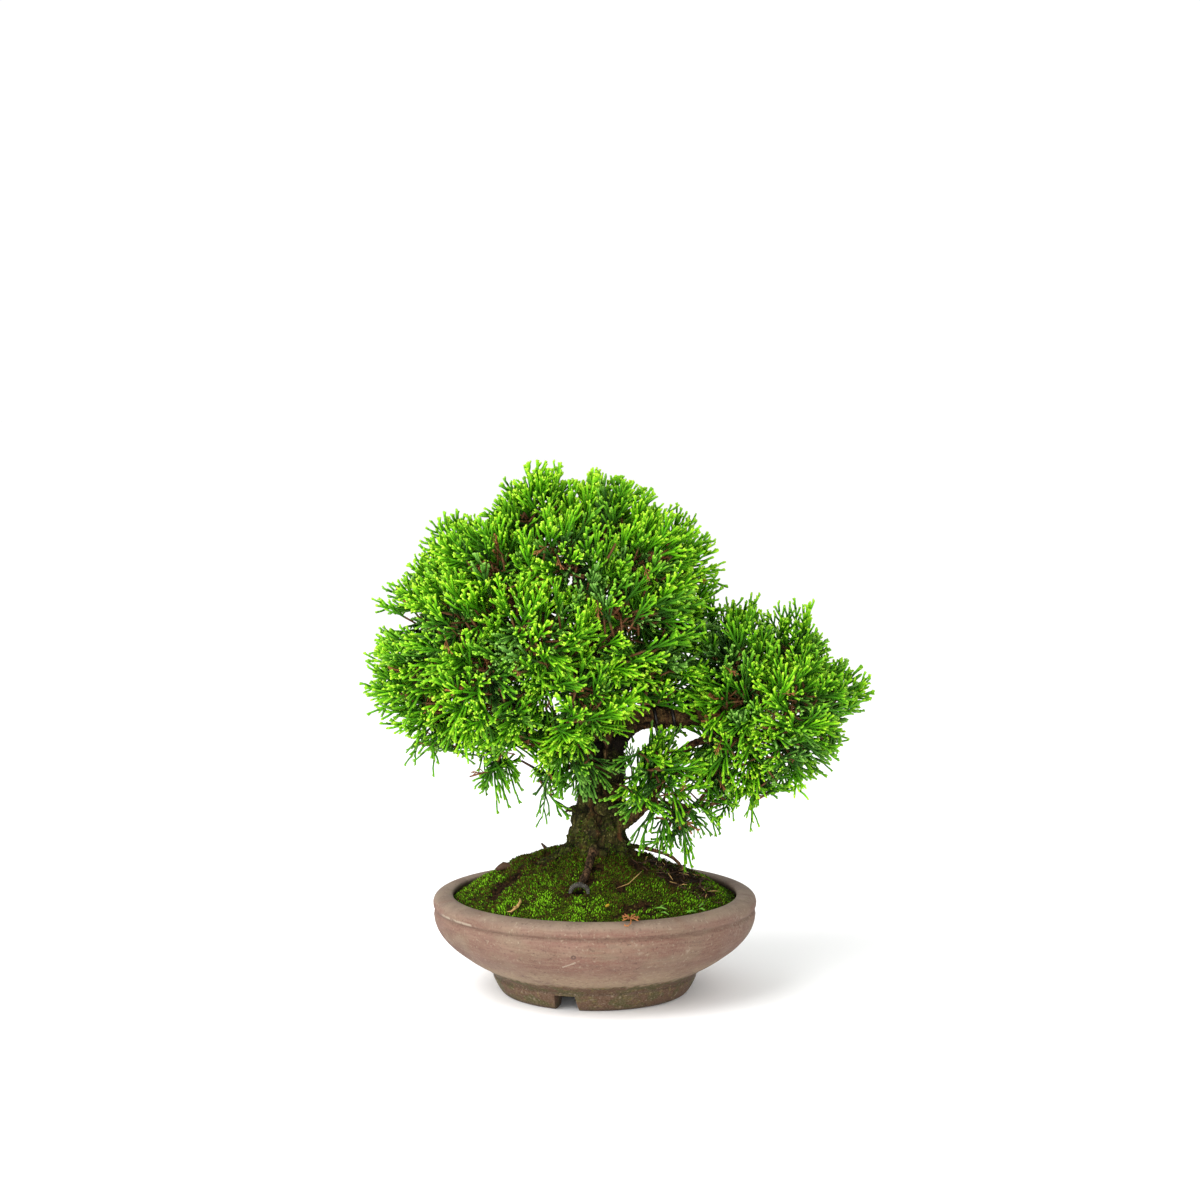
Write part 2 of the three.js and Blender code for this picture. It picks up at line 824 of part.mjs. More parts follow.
const tufts = tuftList();
const limbs = [...Object.values(WOOD), ...tufts.map(twigTo)];
const roomForWood = woodSolid(limbs, SEAT_GAP + 0.05);
const roomForWire = solidOf(wireGeometry(WIRE.radius + SEAT_GAP));
const shootObstacles = woodLines(limbs);

const part = new THREE.Group();
part.add(named("pot", potGeometry(), MATERIALS.clay));
part.add(named("drain_screen", screenGeometry(), MATERIALS.screen));
part.add(named("soil", soilGeometry(roomForWood), MATERIALS.moss));
part.add(named("trunk_and_branches", geometryFrom(woodSolid(limbs, 0)), MATERIALS.bark));
part.add(named("training_wire", wireGeometry(WIRE.radius), MATERIALS.wire));
for (const tuft of tufts) {
  const solid = solidOf(tuftGeometry(tuft, tufts, shootObstacles));
  const cleared = solid.subtract(roomForWood).subtract(roomForWire);
  part.add(named(tuft.name, geometryFrom(cleared), MATERIALS.foliage));
}

// The middle of the whole part's base goes to the origin.
part.updateMatrixWorld(true);
const bounds = new THREE.Box3().setFromObject(part);
const middle = bounds.getCenter(new THREE.Vector3());
part.position.set(-middle.x, -middle.y, -bounds.min.z);

export default part;
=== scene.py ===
import math

import bpy
import numpy as np
from mathutils import Matrix, Vector, noise


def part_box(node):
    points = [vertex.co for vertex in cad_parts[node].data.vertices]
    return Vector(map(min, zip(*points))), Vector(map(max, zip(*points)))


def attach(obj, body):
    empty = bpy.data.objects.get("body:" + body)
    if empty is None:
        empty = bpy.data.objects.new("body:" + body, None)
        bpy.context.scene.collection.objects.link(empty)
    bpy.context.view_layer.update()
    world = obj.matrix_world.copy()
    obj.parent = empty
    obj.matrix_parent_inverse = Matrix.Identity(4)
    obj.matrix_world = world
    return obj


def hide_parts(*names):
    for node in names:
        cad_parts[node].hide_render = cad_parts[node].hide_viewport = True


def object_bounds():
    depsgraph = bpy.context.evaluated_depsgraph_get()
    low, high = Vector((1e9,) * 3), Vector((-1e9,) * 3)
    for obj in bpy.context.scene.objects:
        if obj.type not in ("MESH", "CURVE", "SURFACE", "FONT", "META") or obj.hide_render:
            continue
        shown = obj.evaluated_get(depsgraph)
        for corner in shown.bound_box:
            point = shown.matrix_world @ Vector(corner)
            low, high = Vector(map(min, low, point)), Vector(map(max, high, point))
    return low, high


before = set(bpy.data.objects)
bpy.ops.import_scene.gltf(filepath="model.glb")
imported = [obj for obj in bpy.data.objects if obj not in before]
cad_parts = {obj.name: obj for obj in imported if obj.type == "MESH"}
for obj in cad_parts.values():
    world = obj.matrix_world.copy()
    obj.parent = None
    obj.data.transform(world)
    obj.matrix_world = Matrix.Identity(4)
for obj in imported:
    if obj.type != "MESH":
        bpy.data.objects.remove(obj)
cad_low, cad_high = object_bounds()

TAU = 2 * math.pi
MM = 0.001
UP = Vector((0, 0, 1))
BODY = "root"

# Sizes are in millimetres from the pot's axis, with the foot of the pot at z = 0.
pot_low, pot_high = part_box("pot")
POT_AXIS = (pot_low + pot_high) / (2 * MM)
POT_AXIS.z = 0.0
ROOM_LOW = cad_low / MM - POT_AXIS
ROOM_HIGH = cad_high / MM - POT_AXIS

scene = bpy.context.scene
scene.view_settings.view_transform = "Standard"
# Blender's vector noise starts from the clock unless it's given a seed.
noise.seed_set(1)


def mix(first, second, share):
    return first + (second - first) * share


def smooth_share(value, low, high):
    """0 below low and 1 above high, with a soft step between them. low may be the higher."""
    share = np.clip((np.asarray(value, float) - low) / (high - low), 0.0, 1.0)
    return share * share * (3 - 2 * share)


def linear_light(colour):
    """A colour given in steps from 0 to 255, as linear light."""

    def linear(step):
        share = step / 255
        return share / 12.92 if share <= 0.04045 else ((share + 0.055) / 1.055) ** 2.4

    return (*map(linear, colour), 1.0)


def seeded(seed):
    """The run of numbers between 0 and 1 that the solids of the tufts were placed with."""
    state = seed

    def whole(number):
        return number & 0xFFFFFFFF

    def draw():
        nonlocal state
        state = whole(state + 0x6D2B79F5)
        t = whole((state ^ (state >> 15)) * (1 | state))
        t = whole(t + whole((t ^ (t >> 7)) * (61 | t))) ^ t
        return (t ^ (t >> 14)) / 4294967296

    return draw


# Meshes


def link(piece):
    scene.collection.objects.link(piece)
    return piece


def set_share(mesh, label, values):
    """Gives a mesh one named number per point, which finishes and node trees read."""
    layer = mesh.attributes.new(label, "FLOAT", "POINT")
    layer.data.foreach_set("value", np.asarray(values, np.float32))


def mesh_of(name, points, faces, scale=MM, offset=POT_AXIS, **shares):
    """A mesh from points in millimetres, with one number per point for each of shares."""
    mesh = bpy.data.meshes.new(name)
    placed = (np.asarray(points, float) + np.array(offset)) * scale
    mesh.from_pydata(placed.tolist(), [], [list(face) for face in faces])
    for label, values in shares.items():
        set_share(mesh, label, values)
    mesh.shade_smooth()
    return mesh


def points_of(mesh):
    """A mesh's points in millimetres from the pot's axis."""
    flat = np.zeros(len(mesh.vertices) * 3)
    mesh.vertices.foreach_get("co", flat)
    return flat.reshape(-1, 3) / MM - np.array(POT_AXIS)


def normals_of(mesh):
    flat = np.zeros(len(mesh.vertices) * 3, np.float32)
    mesh.vertices.foreach_get("normal", flat)
    return flat.reshape(-1, 3).astype(float)


def move_points(mesh, points):
    placed = (points + np.array(POT_AXIS)) * MM
    mesh.vertices.foreach_set("co", placed.astype(np.float32).ravel())
    mesh.update()


def finished_mesh(piece, name):
    """The piece's mesh with its modifiers done, as a plain mesh. The piece itself goes."""
    bpy.context.view_layer.update()
    evaluated = piece.evaluated_get(bpy.context.evaluated_depsgraph_get())
    mesh = bpy.data.meshes.new_from_object(evaluated)
    mesh.name = name
    bpy.data.objects.remove(piece)
    return mesh


def put_on_body(name, mesh, replaced=(), material=None):
    """A finished mesh becomes a piece that stands for its solids and takes the given finish."""
    if material is not None:
        mesh.materials.clear()
        mesh.materials.append(material)
    piece = link(bpy.data.objects.new(name, mesh))
    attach(piece, BODY)
    if replaced:
        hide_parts(*replaced)
    return piece


class Growth:
    """Closed tubes gathered into one mesh, each point with its age from 0, old, to 1, new."""

    def __init__(self):
        self.points = []
        self.faces = []
        self.age = []

    def tube(self, spine, radii, ages, sides, turn=0.0):
        """Rings round all points of the spine but its last, which is the tube's tip."""
        start = len(self.points)
        across = (spine[1] - spine[0]).orthogonal().normalized()
        for k, radius in enumerate(radii):
            ahead = (spine[k + 1] - spine[max(k - 1, 0)]).normalized()
            across = (across - across.dot(ahead) * ahead).normalized()
            beside = ahead.cross(across)
            for i in range(sides):
                angle = turn + TAU * i / sides
                out = math.cos(angle) * across + math.sin(angle) * beside
                self.points.append(spine[k] + radius * out)
                self.age.append(ages[k])
        self.points.append(spine[-1])
        self.age.append(ages[-1])
        self.faces.append([start + i for i in reversed(range(sides))])
        for k in range(len(radii) - 1):
            for i in range(sides):
                a = start + k * sides + i
                b = start + k * sides + (i + 1) % sides
                self.faces.append([a, b, b + sides, a + sides])
        last = start + (len(radii) - 1) * sides
        tip = start + len(radii) * sides
        for i in range(sides):
            self.faces.append([last + i, last + (i + 1) % sides, tip])

    def mesh(self, name, offset=POT_AXIS):
        return mesh_of(name, self.points, self.faces, offset=offset, age=self.age)


# Node trees


def add(tree, kind, links=None, **settings):
    """A new node. links gives a value, or another node's output, for inputs by name or number."""
    node = tree.nodes.new(kind)
    for label, value in settings.items():
        setattr(node, label, value)
    for key, value in (links or {}).items():
        if isinstance(value, bpy.types.NodeSocket):
            tree.links.new(value, node.inputs[key])
        else:
            node.inputs[key].default_value = value
    return node


def new_tree(kind, name, inputs, outputs):
    """A node group with named inputs and outputs. inputs maps a name to its type and value."""
    tree = bpy.data.node_groups.new(name, kind)
    for label, (socket_type, value) in inputs.items():
        socket = tree.interface.new_socket(name=label, in_out="INPUT", socket_type=socket_type)
        if value is not None:
            socket.default_value = value
    for label, socket_type in outputs.items():
        tree.interface.new_socket(name=label, in_out="OUTPUT", socket_type=socket_type)
    return tree, tree.nodes.new("NodeGroupInput"), tree.nodes.new("NodeGroupOutput")


GEOMETRY = "NodeSocketGeometry"
NUMBER = "NodeSocketFloat"
COUNT = "NodeSocketInt"
VECTOR = "NodeSocketVector"
MATERIAL = "NodeSocketMaterial"


def grow(name, base, tree, values):
    """Runs a geometry tree on a mesh and gives the plain mesh that comes out of it."""
    piece = link(bpy.data.objects.new(name, base))
    modifier = piece.modifiers.new("grow", "NODES")
    modifier.node_group = tree
    for item in tree.interface.items_tree:
        if item.in_out == "INPUT" and item.name in values:
            modifier[item.identifier] = values[item.name]
    return finished_mesh(piece, name)


def keep_only(mesh, *labels):
    """Drops the loose attributes that a geometry tree leaves on a mesh."""
    kept = {"position", "sharp_face", "material_index", *labels}
    for label in [a.name for a in mesh.attributes]:
        if label not in kept and not label.startswith("."):
            mesh.attributes.remove(mesh.attributes[label])


# Materials


def start_material(name, roughness, specular=0.5, metallic=0.0):
    """A material, with the values that are the same all over set on the surface itself."""
    material = bpy.data.materials.new(name)
    material.use_nodes = True
    tree = material.node_tree
    surface = tree.nodes["Principled BSDF"]
    surface.inputs["Roughness"].default_value = roughness
    surface.inputs["Specular IOR Level"].default_value = specular
    surface.inputs["Metallic"].default_value = metallic
    return material, tree, surface


def roughen(tree, surface, relief, strength, depth):
    """Bumps as deep as depth, in millimetres, where relief is 1."""
    links = {"Strength": strength, "Distance": depth * MM, "Height": relief}
    bump = add(tree, "ShaderNodeBump", links)
    tree.links.new(bump.outputs[0], surface.inputs["Normal"])


def calc(tree, operation, *values):
    return add(tree, "ShaderNodeMath", dict(enumerate(values)), operation=operation).outputs[0]


def times(tree, product, *factors):
    for factor in factors:
        product = calc(tree, "MULTIPLY", product, factor)
    return product


def colour_mix(tree, share, *colours):
    """Runs from the first colour to the second, each an output or steps from 0 to 255."""
    first, second = (
        colour if isinstance(colour, bpy.types.NodeSocket) else linear_light(colour)
        for colour in colours
    )
    mixed = add(tree, "ShaderNodeMix", {0: share, 6: first, 7: second}, data_type="RGBA")
    return mixed.outputs[2]


def tint(tree, under, mask, strength, over):
    """Lays a colour over another one where the mask shows it."""
    return colour_mix(tree, times(tree, mask, strength), under, over)


def soft_step(tree, value, low, high, lowest=0.0, highest=1.0):
    links = {0: value, 1: low, 2: high, 3: lowest, 4: highest}
    step = add(tree, "ShaderNodeMapRange", links, interpolation_type="SMOOTHSTEP")
    return step.outputs[0]


def fade(tree, distance, start, full):
    """0 at start and 1 at full, both in millimetres. full may be the smaller."""
    return soft_step(tree, distance, start * MM, full * MM)


def band(tree, distance, start, full, last_full, end):
    """1 from full to last_full, fading to 0 at start and end, all in millimetres."""
    return times(tree, fade(tree, distance, start, full), fade(tree, distance, end, last_full))


def share_on(tree, label):
    """A material's reading of the shares that a mesh carries."""
    return add(tree, "ShaderNodeAttribute", attribute_name=label).outputs["Fac"]


def stored(tree, label, kind="FLOAT"):
    """A geometry tree's reading of what a mesh carries."""
    node = add(tree, "GeometryNodeInputNamedAttribute", {"Name": label}, data_type=kind)
    return node.outputs[0]


def chance(tree, low, high, seed):
    links = {2: low, 3: high, "Seed": seed}
    return add(tree, "FunctionNodeRandomValue", links, data_type="FLOAT").outputs[1]


def colour_steps(tree, value, steps):
    """A colour that runs through steps, each a place from 0 to 1 and its colour."""
    ramp = add(tree, "ShaderNodeValToRGB", {0: value})
    elements = ramp.color_ramp.elements
    while len(elements) < len(steps):
        elements.new(1.0)
    for element, (place, colour) in zip(elements, steps):
        element.position = place
        element.color = linear_light(colour)
    return ramp.outputs[0]


def mottle_group():
    """Soft-edged patches of a given size, used by the clay, the soil and the bark."""
    inputs = {
        "Size mm": (NUMBER, 10.0),
        "Low": (NUMBER, 0.4),
        "High": (NUMBER, 0.6),
        "Stretch": (VECTOR, (1.0, 1.0, 1.0)),
        "Shift": (VECTOR, (0.0, 0.0, 0.0)),
    }
    tree, start, end = new_tree("ShaderNodeTree", "mottle", inputs, {"Mask": NUMBER})
    place = add(tree, "ShaderNodeTexCoord").outputs["Object"]
    links = {0: place, 1: start.outputs["Shift"], 3: start.outputs["Stretch"]}
    turned = add(tree, "ShaderNodeMapping", links).outputs[0]
    scale = calc(tree, "DIVIDE", 1.0 / MM, start.outputs["Size mm"])
    cloud = add(tree, "ShaderNodeTexNoise", {"Vector": turned, "Scale": scale, "Detail": 3.0})
    low, high = start.outputs["Low"], start.outputs["High"]
    mask = soft_step(tree, cloud.outputs[0], low, high)
    tree.links.new(mask, end.inputs["Mask"])
    return tree


MOTTLE = mottle_group()


def mottle(tree, size, low, high, stretch=(1, 1, 1), shift=(0, 0, 0)):
    values = {"Size mm": size, "Low": low, "High": high, "Stretch": stretch, "Shift": shift}
    return add(tree, "ShaderNodeGroup", values, node_tree=MOTTLE).outputs[0]


def near(tree, place, point, reach, fade):
    """1 within reach of a point on the object, fading to 0 over fade, all in millimetres."""
    centre = (Vector(point) + POT_AXIS) * MM
    gap = add(tree, "ShaderNodeVectorMath", {0: place, 1: centre}, operation="DISTANCE")
    return soft_step(tree, gap.outputs["Value"], (reach + fade) * MM, reach * MM)


# The pot


# Radius and height up the outside of the pot, down again inside and through the drain hole,
# from the outer edge of the foot to its inner one.
POT_PROFILE = [
    (50.3, 0), (51.2, 0.5), (52.4, 1.9), (53.5, 3.7), (54.6, 5.8), (55.5, 7.6), (55.9, 8.5),
    (55.8, 9.2), (55.4, 9.8), (55.7, 10.6), (57.2, 12.0), (59.2, 13.4), (60.6, 14.5), (61.3, 15.2),
    (63.4, 16.3), (66.6, 18.0), (70.6, 20.5), (74.4, 23.3), (77.9, 25.9), (81.0, 28.7), (83.9, 31.9),
    (86.2, 35.4), (87.6, 38.8), (88.3, 41.6), (88.4, 43.4), (88.1, 44.8), (87.5, 45.7), (87.25, 46.2),
    (87.5, 46.7), (88.2, 47.3), (88.7, 48.2), (88.85, 49.6), (88.5, 51.2), (87.7, 52.5), (86.2, 53.6),
    (84.2, 54.3), (82.0, 54.6), (79.9, 54.5), (78.6, 54.2), (77.9, 53.6), (77.8, 52.8), (78.4, 51.4),
    (79.4, 49.6), (79.6, 46.5), (79.4, 40.0), (77.9, 35.0), (75.4, 31.0), (71.0, 27.2), (66.0, 24.0),
    (59.0, 21.2), (52.0, 19.4), (44.0, 18.4), (36.0, 18.0), (9.8, 18.0), (9.2, 17.8), (9.0, 17.2),
    (9.0, 10.4), (9.3, 9.7), (10.0, 9.5), (38.6, 9.5), (39.6, 9.1), (40.2, 8.0), (41.9, 0.8),
    (42.5, 0.0),
]
POT_SEGMENTS = 200
NOTCH_COUNT = 3
NOTCH_WIDTH = 13.2
NOTCH_HEIGHT = 8.8
# How much narrower a notch is at its top than at the floor.
NOTCH_TAPER = 0.13
NOTCH_FRONT_ANGLE = math.radians(253.3)
# Points closer than this, in metres, are one point.
SAME_PLACE = 1e-6
NOTCH_MIDDLE = 46.3
NOTCH_REACH = 24.0


def rounded(profile):
    """Cuts each corner of a closed outline once, which rounds its edges a little."""
    points = []
    for k, (r, z) in enumerate(profile):
        next_r, next_z = profile[(k + 1) % len(profile)]
        points.append((mix(r, next_r, 0.25), 0.0, mix(z, next_z, 0.25)))
        points.append((mix(r, next_r, 0.75), 0.0, mix(z, next_z, 0.75)))
    return points


def turning_tree():
    """Turns an outline round the vertical axis into a closed wall and cuts notches in its foot."""
    inputs = {
        "Outline": (GEOMETRY, None),
        "Outline points": (COUNT, 100),
        "Segments": (COUNT, 128),
        "Notches": (COUNT, 3),
        "Notch width": (NUMBER, 0.01),
        "Notch height": (NUMBER, 0.006),
        "Notch taper": (NUMBER, 0.1),
        "Notch reach": (NUMBER, 0.02),
        "Notch distance": (NUMBER, 0.05),
        "Notch angle": (NUMBER, 0.0),
        "Axis": (VECTOR, (0.0, 0.0, 0.0)),
    }
    tree, start, end = new_tree("GeometryNodeTree", "turned_pot", inputs, {"Pot": GEOMETRY})
    given = start.outputs
    links = {
        "Size X": 1.0,
        "Size Y": 1.0,
        "Vertices X": calc(tree, "ADD", given["Segments"], 1.0),
        "Vertices Y": calc(tree, "ADD", given["Outline points"], 1.0),
    }
    sheet = add(tree, "GeometryNodeMeshGrid", links)
    position = add(tree, "GeometryNodeInputPosition").outputs[0]
    place = add(tree, "ShaderNodeSeparateXYZ", {0: position})
    angle = times(tree, calc(tree, "ADD", place.outputs[0], 0.5), TAU)
    along = times(tree, calc(tree, "ADD", place.outputs[1], 0.5), given["Outline points"])
    wrapped = calc(tree, "MODULO", calc(tree, "ROUND", along), given["Outline points"])
    links = {"Geometry": given["Outline"], "Index": wrapped, "Value": position}
    picked = add(tree, "GeometryNodeSampleIndex", links, data_type="FLOAT_VECTOR")
    corner = add(tree, "ShaderNodeSeparateXYZ", {0: picked.outputs["Value"]})
    radius, height = corner.outputs[0], corner.outputs[2]
    x = times(tree, radius, calc(tree, "COSINE", angle))
    y = times(tree, radius, calc(tree, "SINE", angle))
    turned = add(tree, "ShaderNodeCombineXYZ", {0: x, 1: y, 2: height}).outputs[0]
    wall = add(tree, "GeometryNodeSetPosition", {"Geometry": sheet.outputs[0], "Position": turned})
    links = {"Geometry": wall.outputs[0], "Distance": SAME_PLACE}
    closed = add(tree, "GeometryNodeMergeByDistance", links)
    both_ways = times(tree, given["Notch height"], 2.0)
    links = {0: given["Notch reach"], 1: given["Notch width"], 2: both_ways}
    size = add(tree, "ShaderNodeCombineXYZ", links)
    cube = add(tree, "GeometryNodeMeshCube", {"Size": size.outputs[0]})
    rise = calc(tree, "DIVIDE", place.outputs[2], given["Notch height"])
    draw = times(tree, place.outputs[1], rise, given["Notch taper"], -1.0)
    inwards = add(tree, "ShaderNodeCombineXYZ", {1: draw}).outputs[0]
    block = add(tree, "GeometryNodeSetPosition", {"Geometry": cube.outputs[0], "Offset": inwards})
    number = add(tree, "GeometryNodeInputIndex").outputs[0]
    step = calc(tree, "DIVIDE", TAU, given["Notches"])
    turn = calc(tree, "ADD", times(tree, number, step), given["Notch angle"])
    notch_x = times(tree, calc(tree, "COSINE", turn), given["Notch distance"])
    notch_y = times(tree, calc(tree, "SINE", turn), given["Notch distance"])
    spot = add(tree, "ShaderNodeCombineXYZ", {0: notch_x, 1: notch_y})
    spots = add(tree, "GeometryNodePoints", {"Count": given["Notches"], "Position": spot.outputs[0]})
    facing = add(tree, "ShaderNodeCombineXYZ", {2: turn}).outputs[0]
    turns = add(tree, "FunctionNodeEulerToRotation", {0: facing}).outputs[0]
    links = {"Points": spots.outputs[0], "Instance": block.outputs[0], "Rotation": turns}
    blocks = add(tree, "GeometryNodeInstanceOnPoints", links)
    cutters = add(tree, "GeometryNodeRealizeInstances", {0: blocks.outputs[0]})
    cut = add(tree, "GeometryNodeMeshBoolean", operation="DIFFERENCE", solver="EXACT")
    tree.links.new(closed.outputs[0], cut.inputs["Mesh 1"])
    tree.links.new(cutters.outputs[0], cut.inputs["Mesh 2"])
    links = {"Geometry": cut.outputs[0], "Translation": given["Axis"]}
    moved = add(tree, "GeometryNodeTransform", links)
    real = add(tree, "GeometryNodeRealizeInstances", {0: moved.outputs[0]})
    tree.links.new(real.outputs[0], end.inputs["Pot"])
    return tree


# Heights on the pot where its finish changes: where the change starts and where it is full.
LOW_BODY_FADE = (30, 17)
RIM_FADE = (49.5, 53.6)
FOOT_FADE = (17.2, 14.8)
# Painted shade: the foot is darker along its bottom edge, where it meets the floor.
HEM_SHADE_FADE = (3.0, 0.4)
INSIDE_FADE = (52.5, 50.0)
INNER_FLOOR_FADE = (17.0, 17.6)
# Painted shade: the recess under the pot is near black below its roof and inside its wall.
RECESS_SHADE_ROOF_FADE = (10.4, 9.8)
# The same as distances from the pot's axis.
RECESS_SHADE_WALL_FADE = (47.0, 43.0)
# Bands round the pot: where each starts, is full, is last full and ends.
# Painted shade: the groove under the rim is darker.
GROOVE_SHADE_BAND = (44.6, 46.0, 46.6, 48.4)
# Painted shade: the crease between the foot ring and the body is darker.
LEDGE_SHADE_BAND = (8.9, 9.8, 10.0, 11.4)
LIME_BAND = (47.2, 47.9, 48.5, 49.2)
# The wall of the inside: how fast its radius grows with height, from what radius and to what.
INSIDE_SLOPE = 1.95
INSIDE_START = 22.7
INSIDE_LIMIT = 80.9
# Marks on the clay that the photograph shows, in millimetres from the pot's axis.
DIMPLE = (-10.8, -86.1, 37.2)
SCRATCH_START = Vector((-16.3, -81.4, 31.1))
SCRATCH_END = Vector((-10.1, -84.5, 34.0))
SCRATCH_DOTS = 9
WARM_PATCH = (8.0, -84.0, 40.0)
PALE_PATCH = (75.8, -44.6, 46.0)
LIME_MIDDLE = (-73.6, -48.0, 48.3)
PALE_SPOTS = [(20.4, -85.2, 44.1), (48.8, -72.0, 37.9), (24.0, -84.0, 41.0)]
CLAY_ROUGHNESS = 0.84


def pale_marks(tree, place, height):
    """Where lime, pale spots and a scratch show on the clay."""
    lime = times(tree, band(tree, height, *LIME_BAND), near(tree, place, LIME_MIDDLE, 13, 7))
    lime = times(tree, lime, mottle(tree, 3.0, 0.4, 0.5))
    patch = near(tree, place, PALE_PATCH, 2, 9)
    marks = calc(tree, "MAXIMUM", lime, times(tree, patch, mottle(tree, 1.8, 0.5, 0.62), 0.45))
    for spot in PALE_SPOTS:
        speck = near(tree, place, spot, 0.6, 3.0)
        marks = calc(tree, "MAXIMUM", marks, times(tree, speck, mottle(tree, 1.9, 0.5, 0.6), 0.5))
    for k in range(SCRATCH_DOTS):
        dot = SCRATCH_START.lerp(SCRATCH_END, k / (SCRATCH_DOTS - 1))
        marks = calc(tree, "MAXIMUM", marks, near(tree, place, dot, 0.25, 0.5))
    return marks


def foot_colour(tree, height):
    """The foot ring: rust brown with olive algae; painted shade in the crease under its ledge."""
    growth = mottle(tree, 10, 0.46, 0.58, stretch=(1, 1, 1.6), shift=(0.2, 0.2, 0))
    colour = colour_mix(tree, growth, (70, 46, 27), (54, 52, 10))
    colour = colour_mix(tree, mottle(tree, 2.6, 0.56, 0.68), colour, (86, 72, 34))
    # Painted shade in the crease under the ledge.
    return tint(tree, colour, band(tree, height, *LEDGE_SHADE_BAND), 0.5, (34, 26, 12))


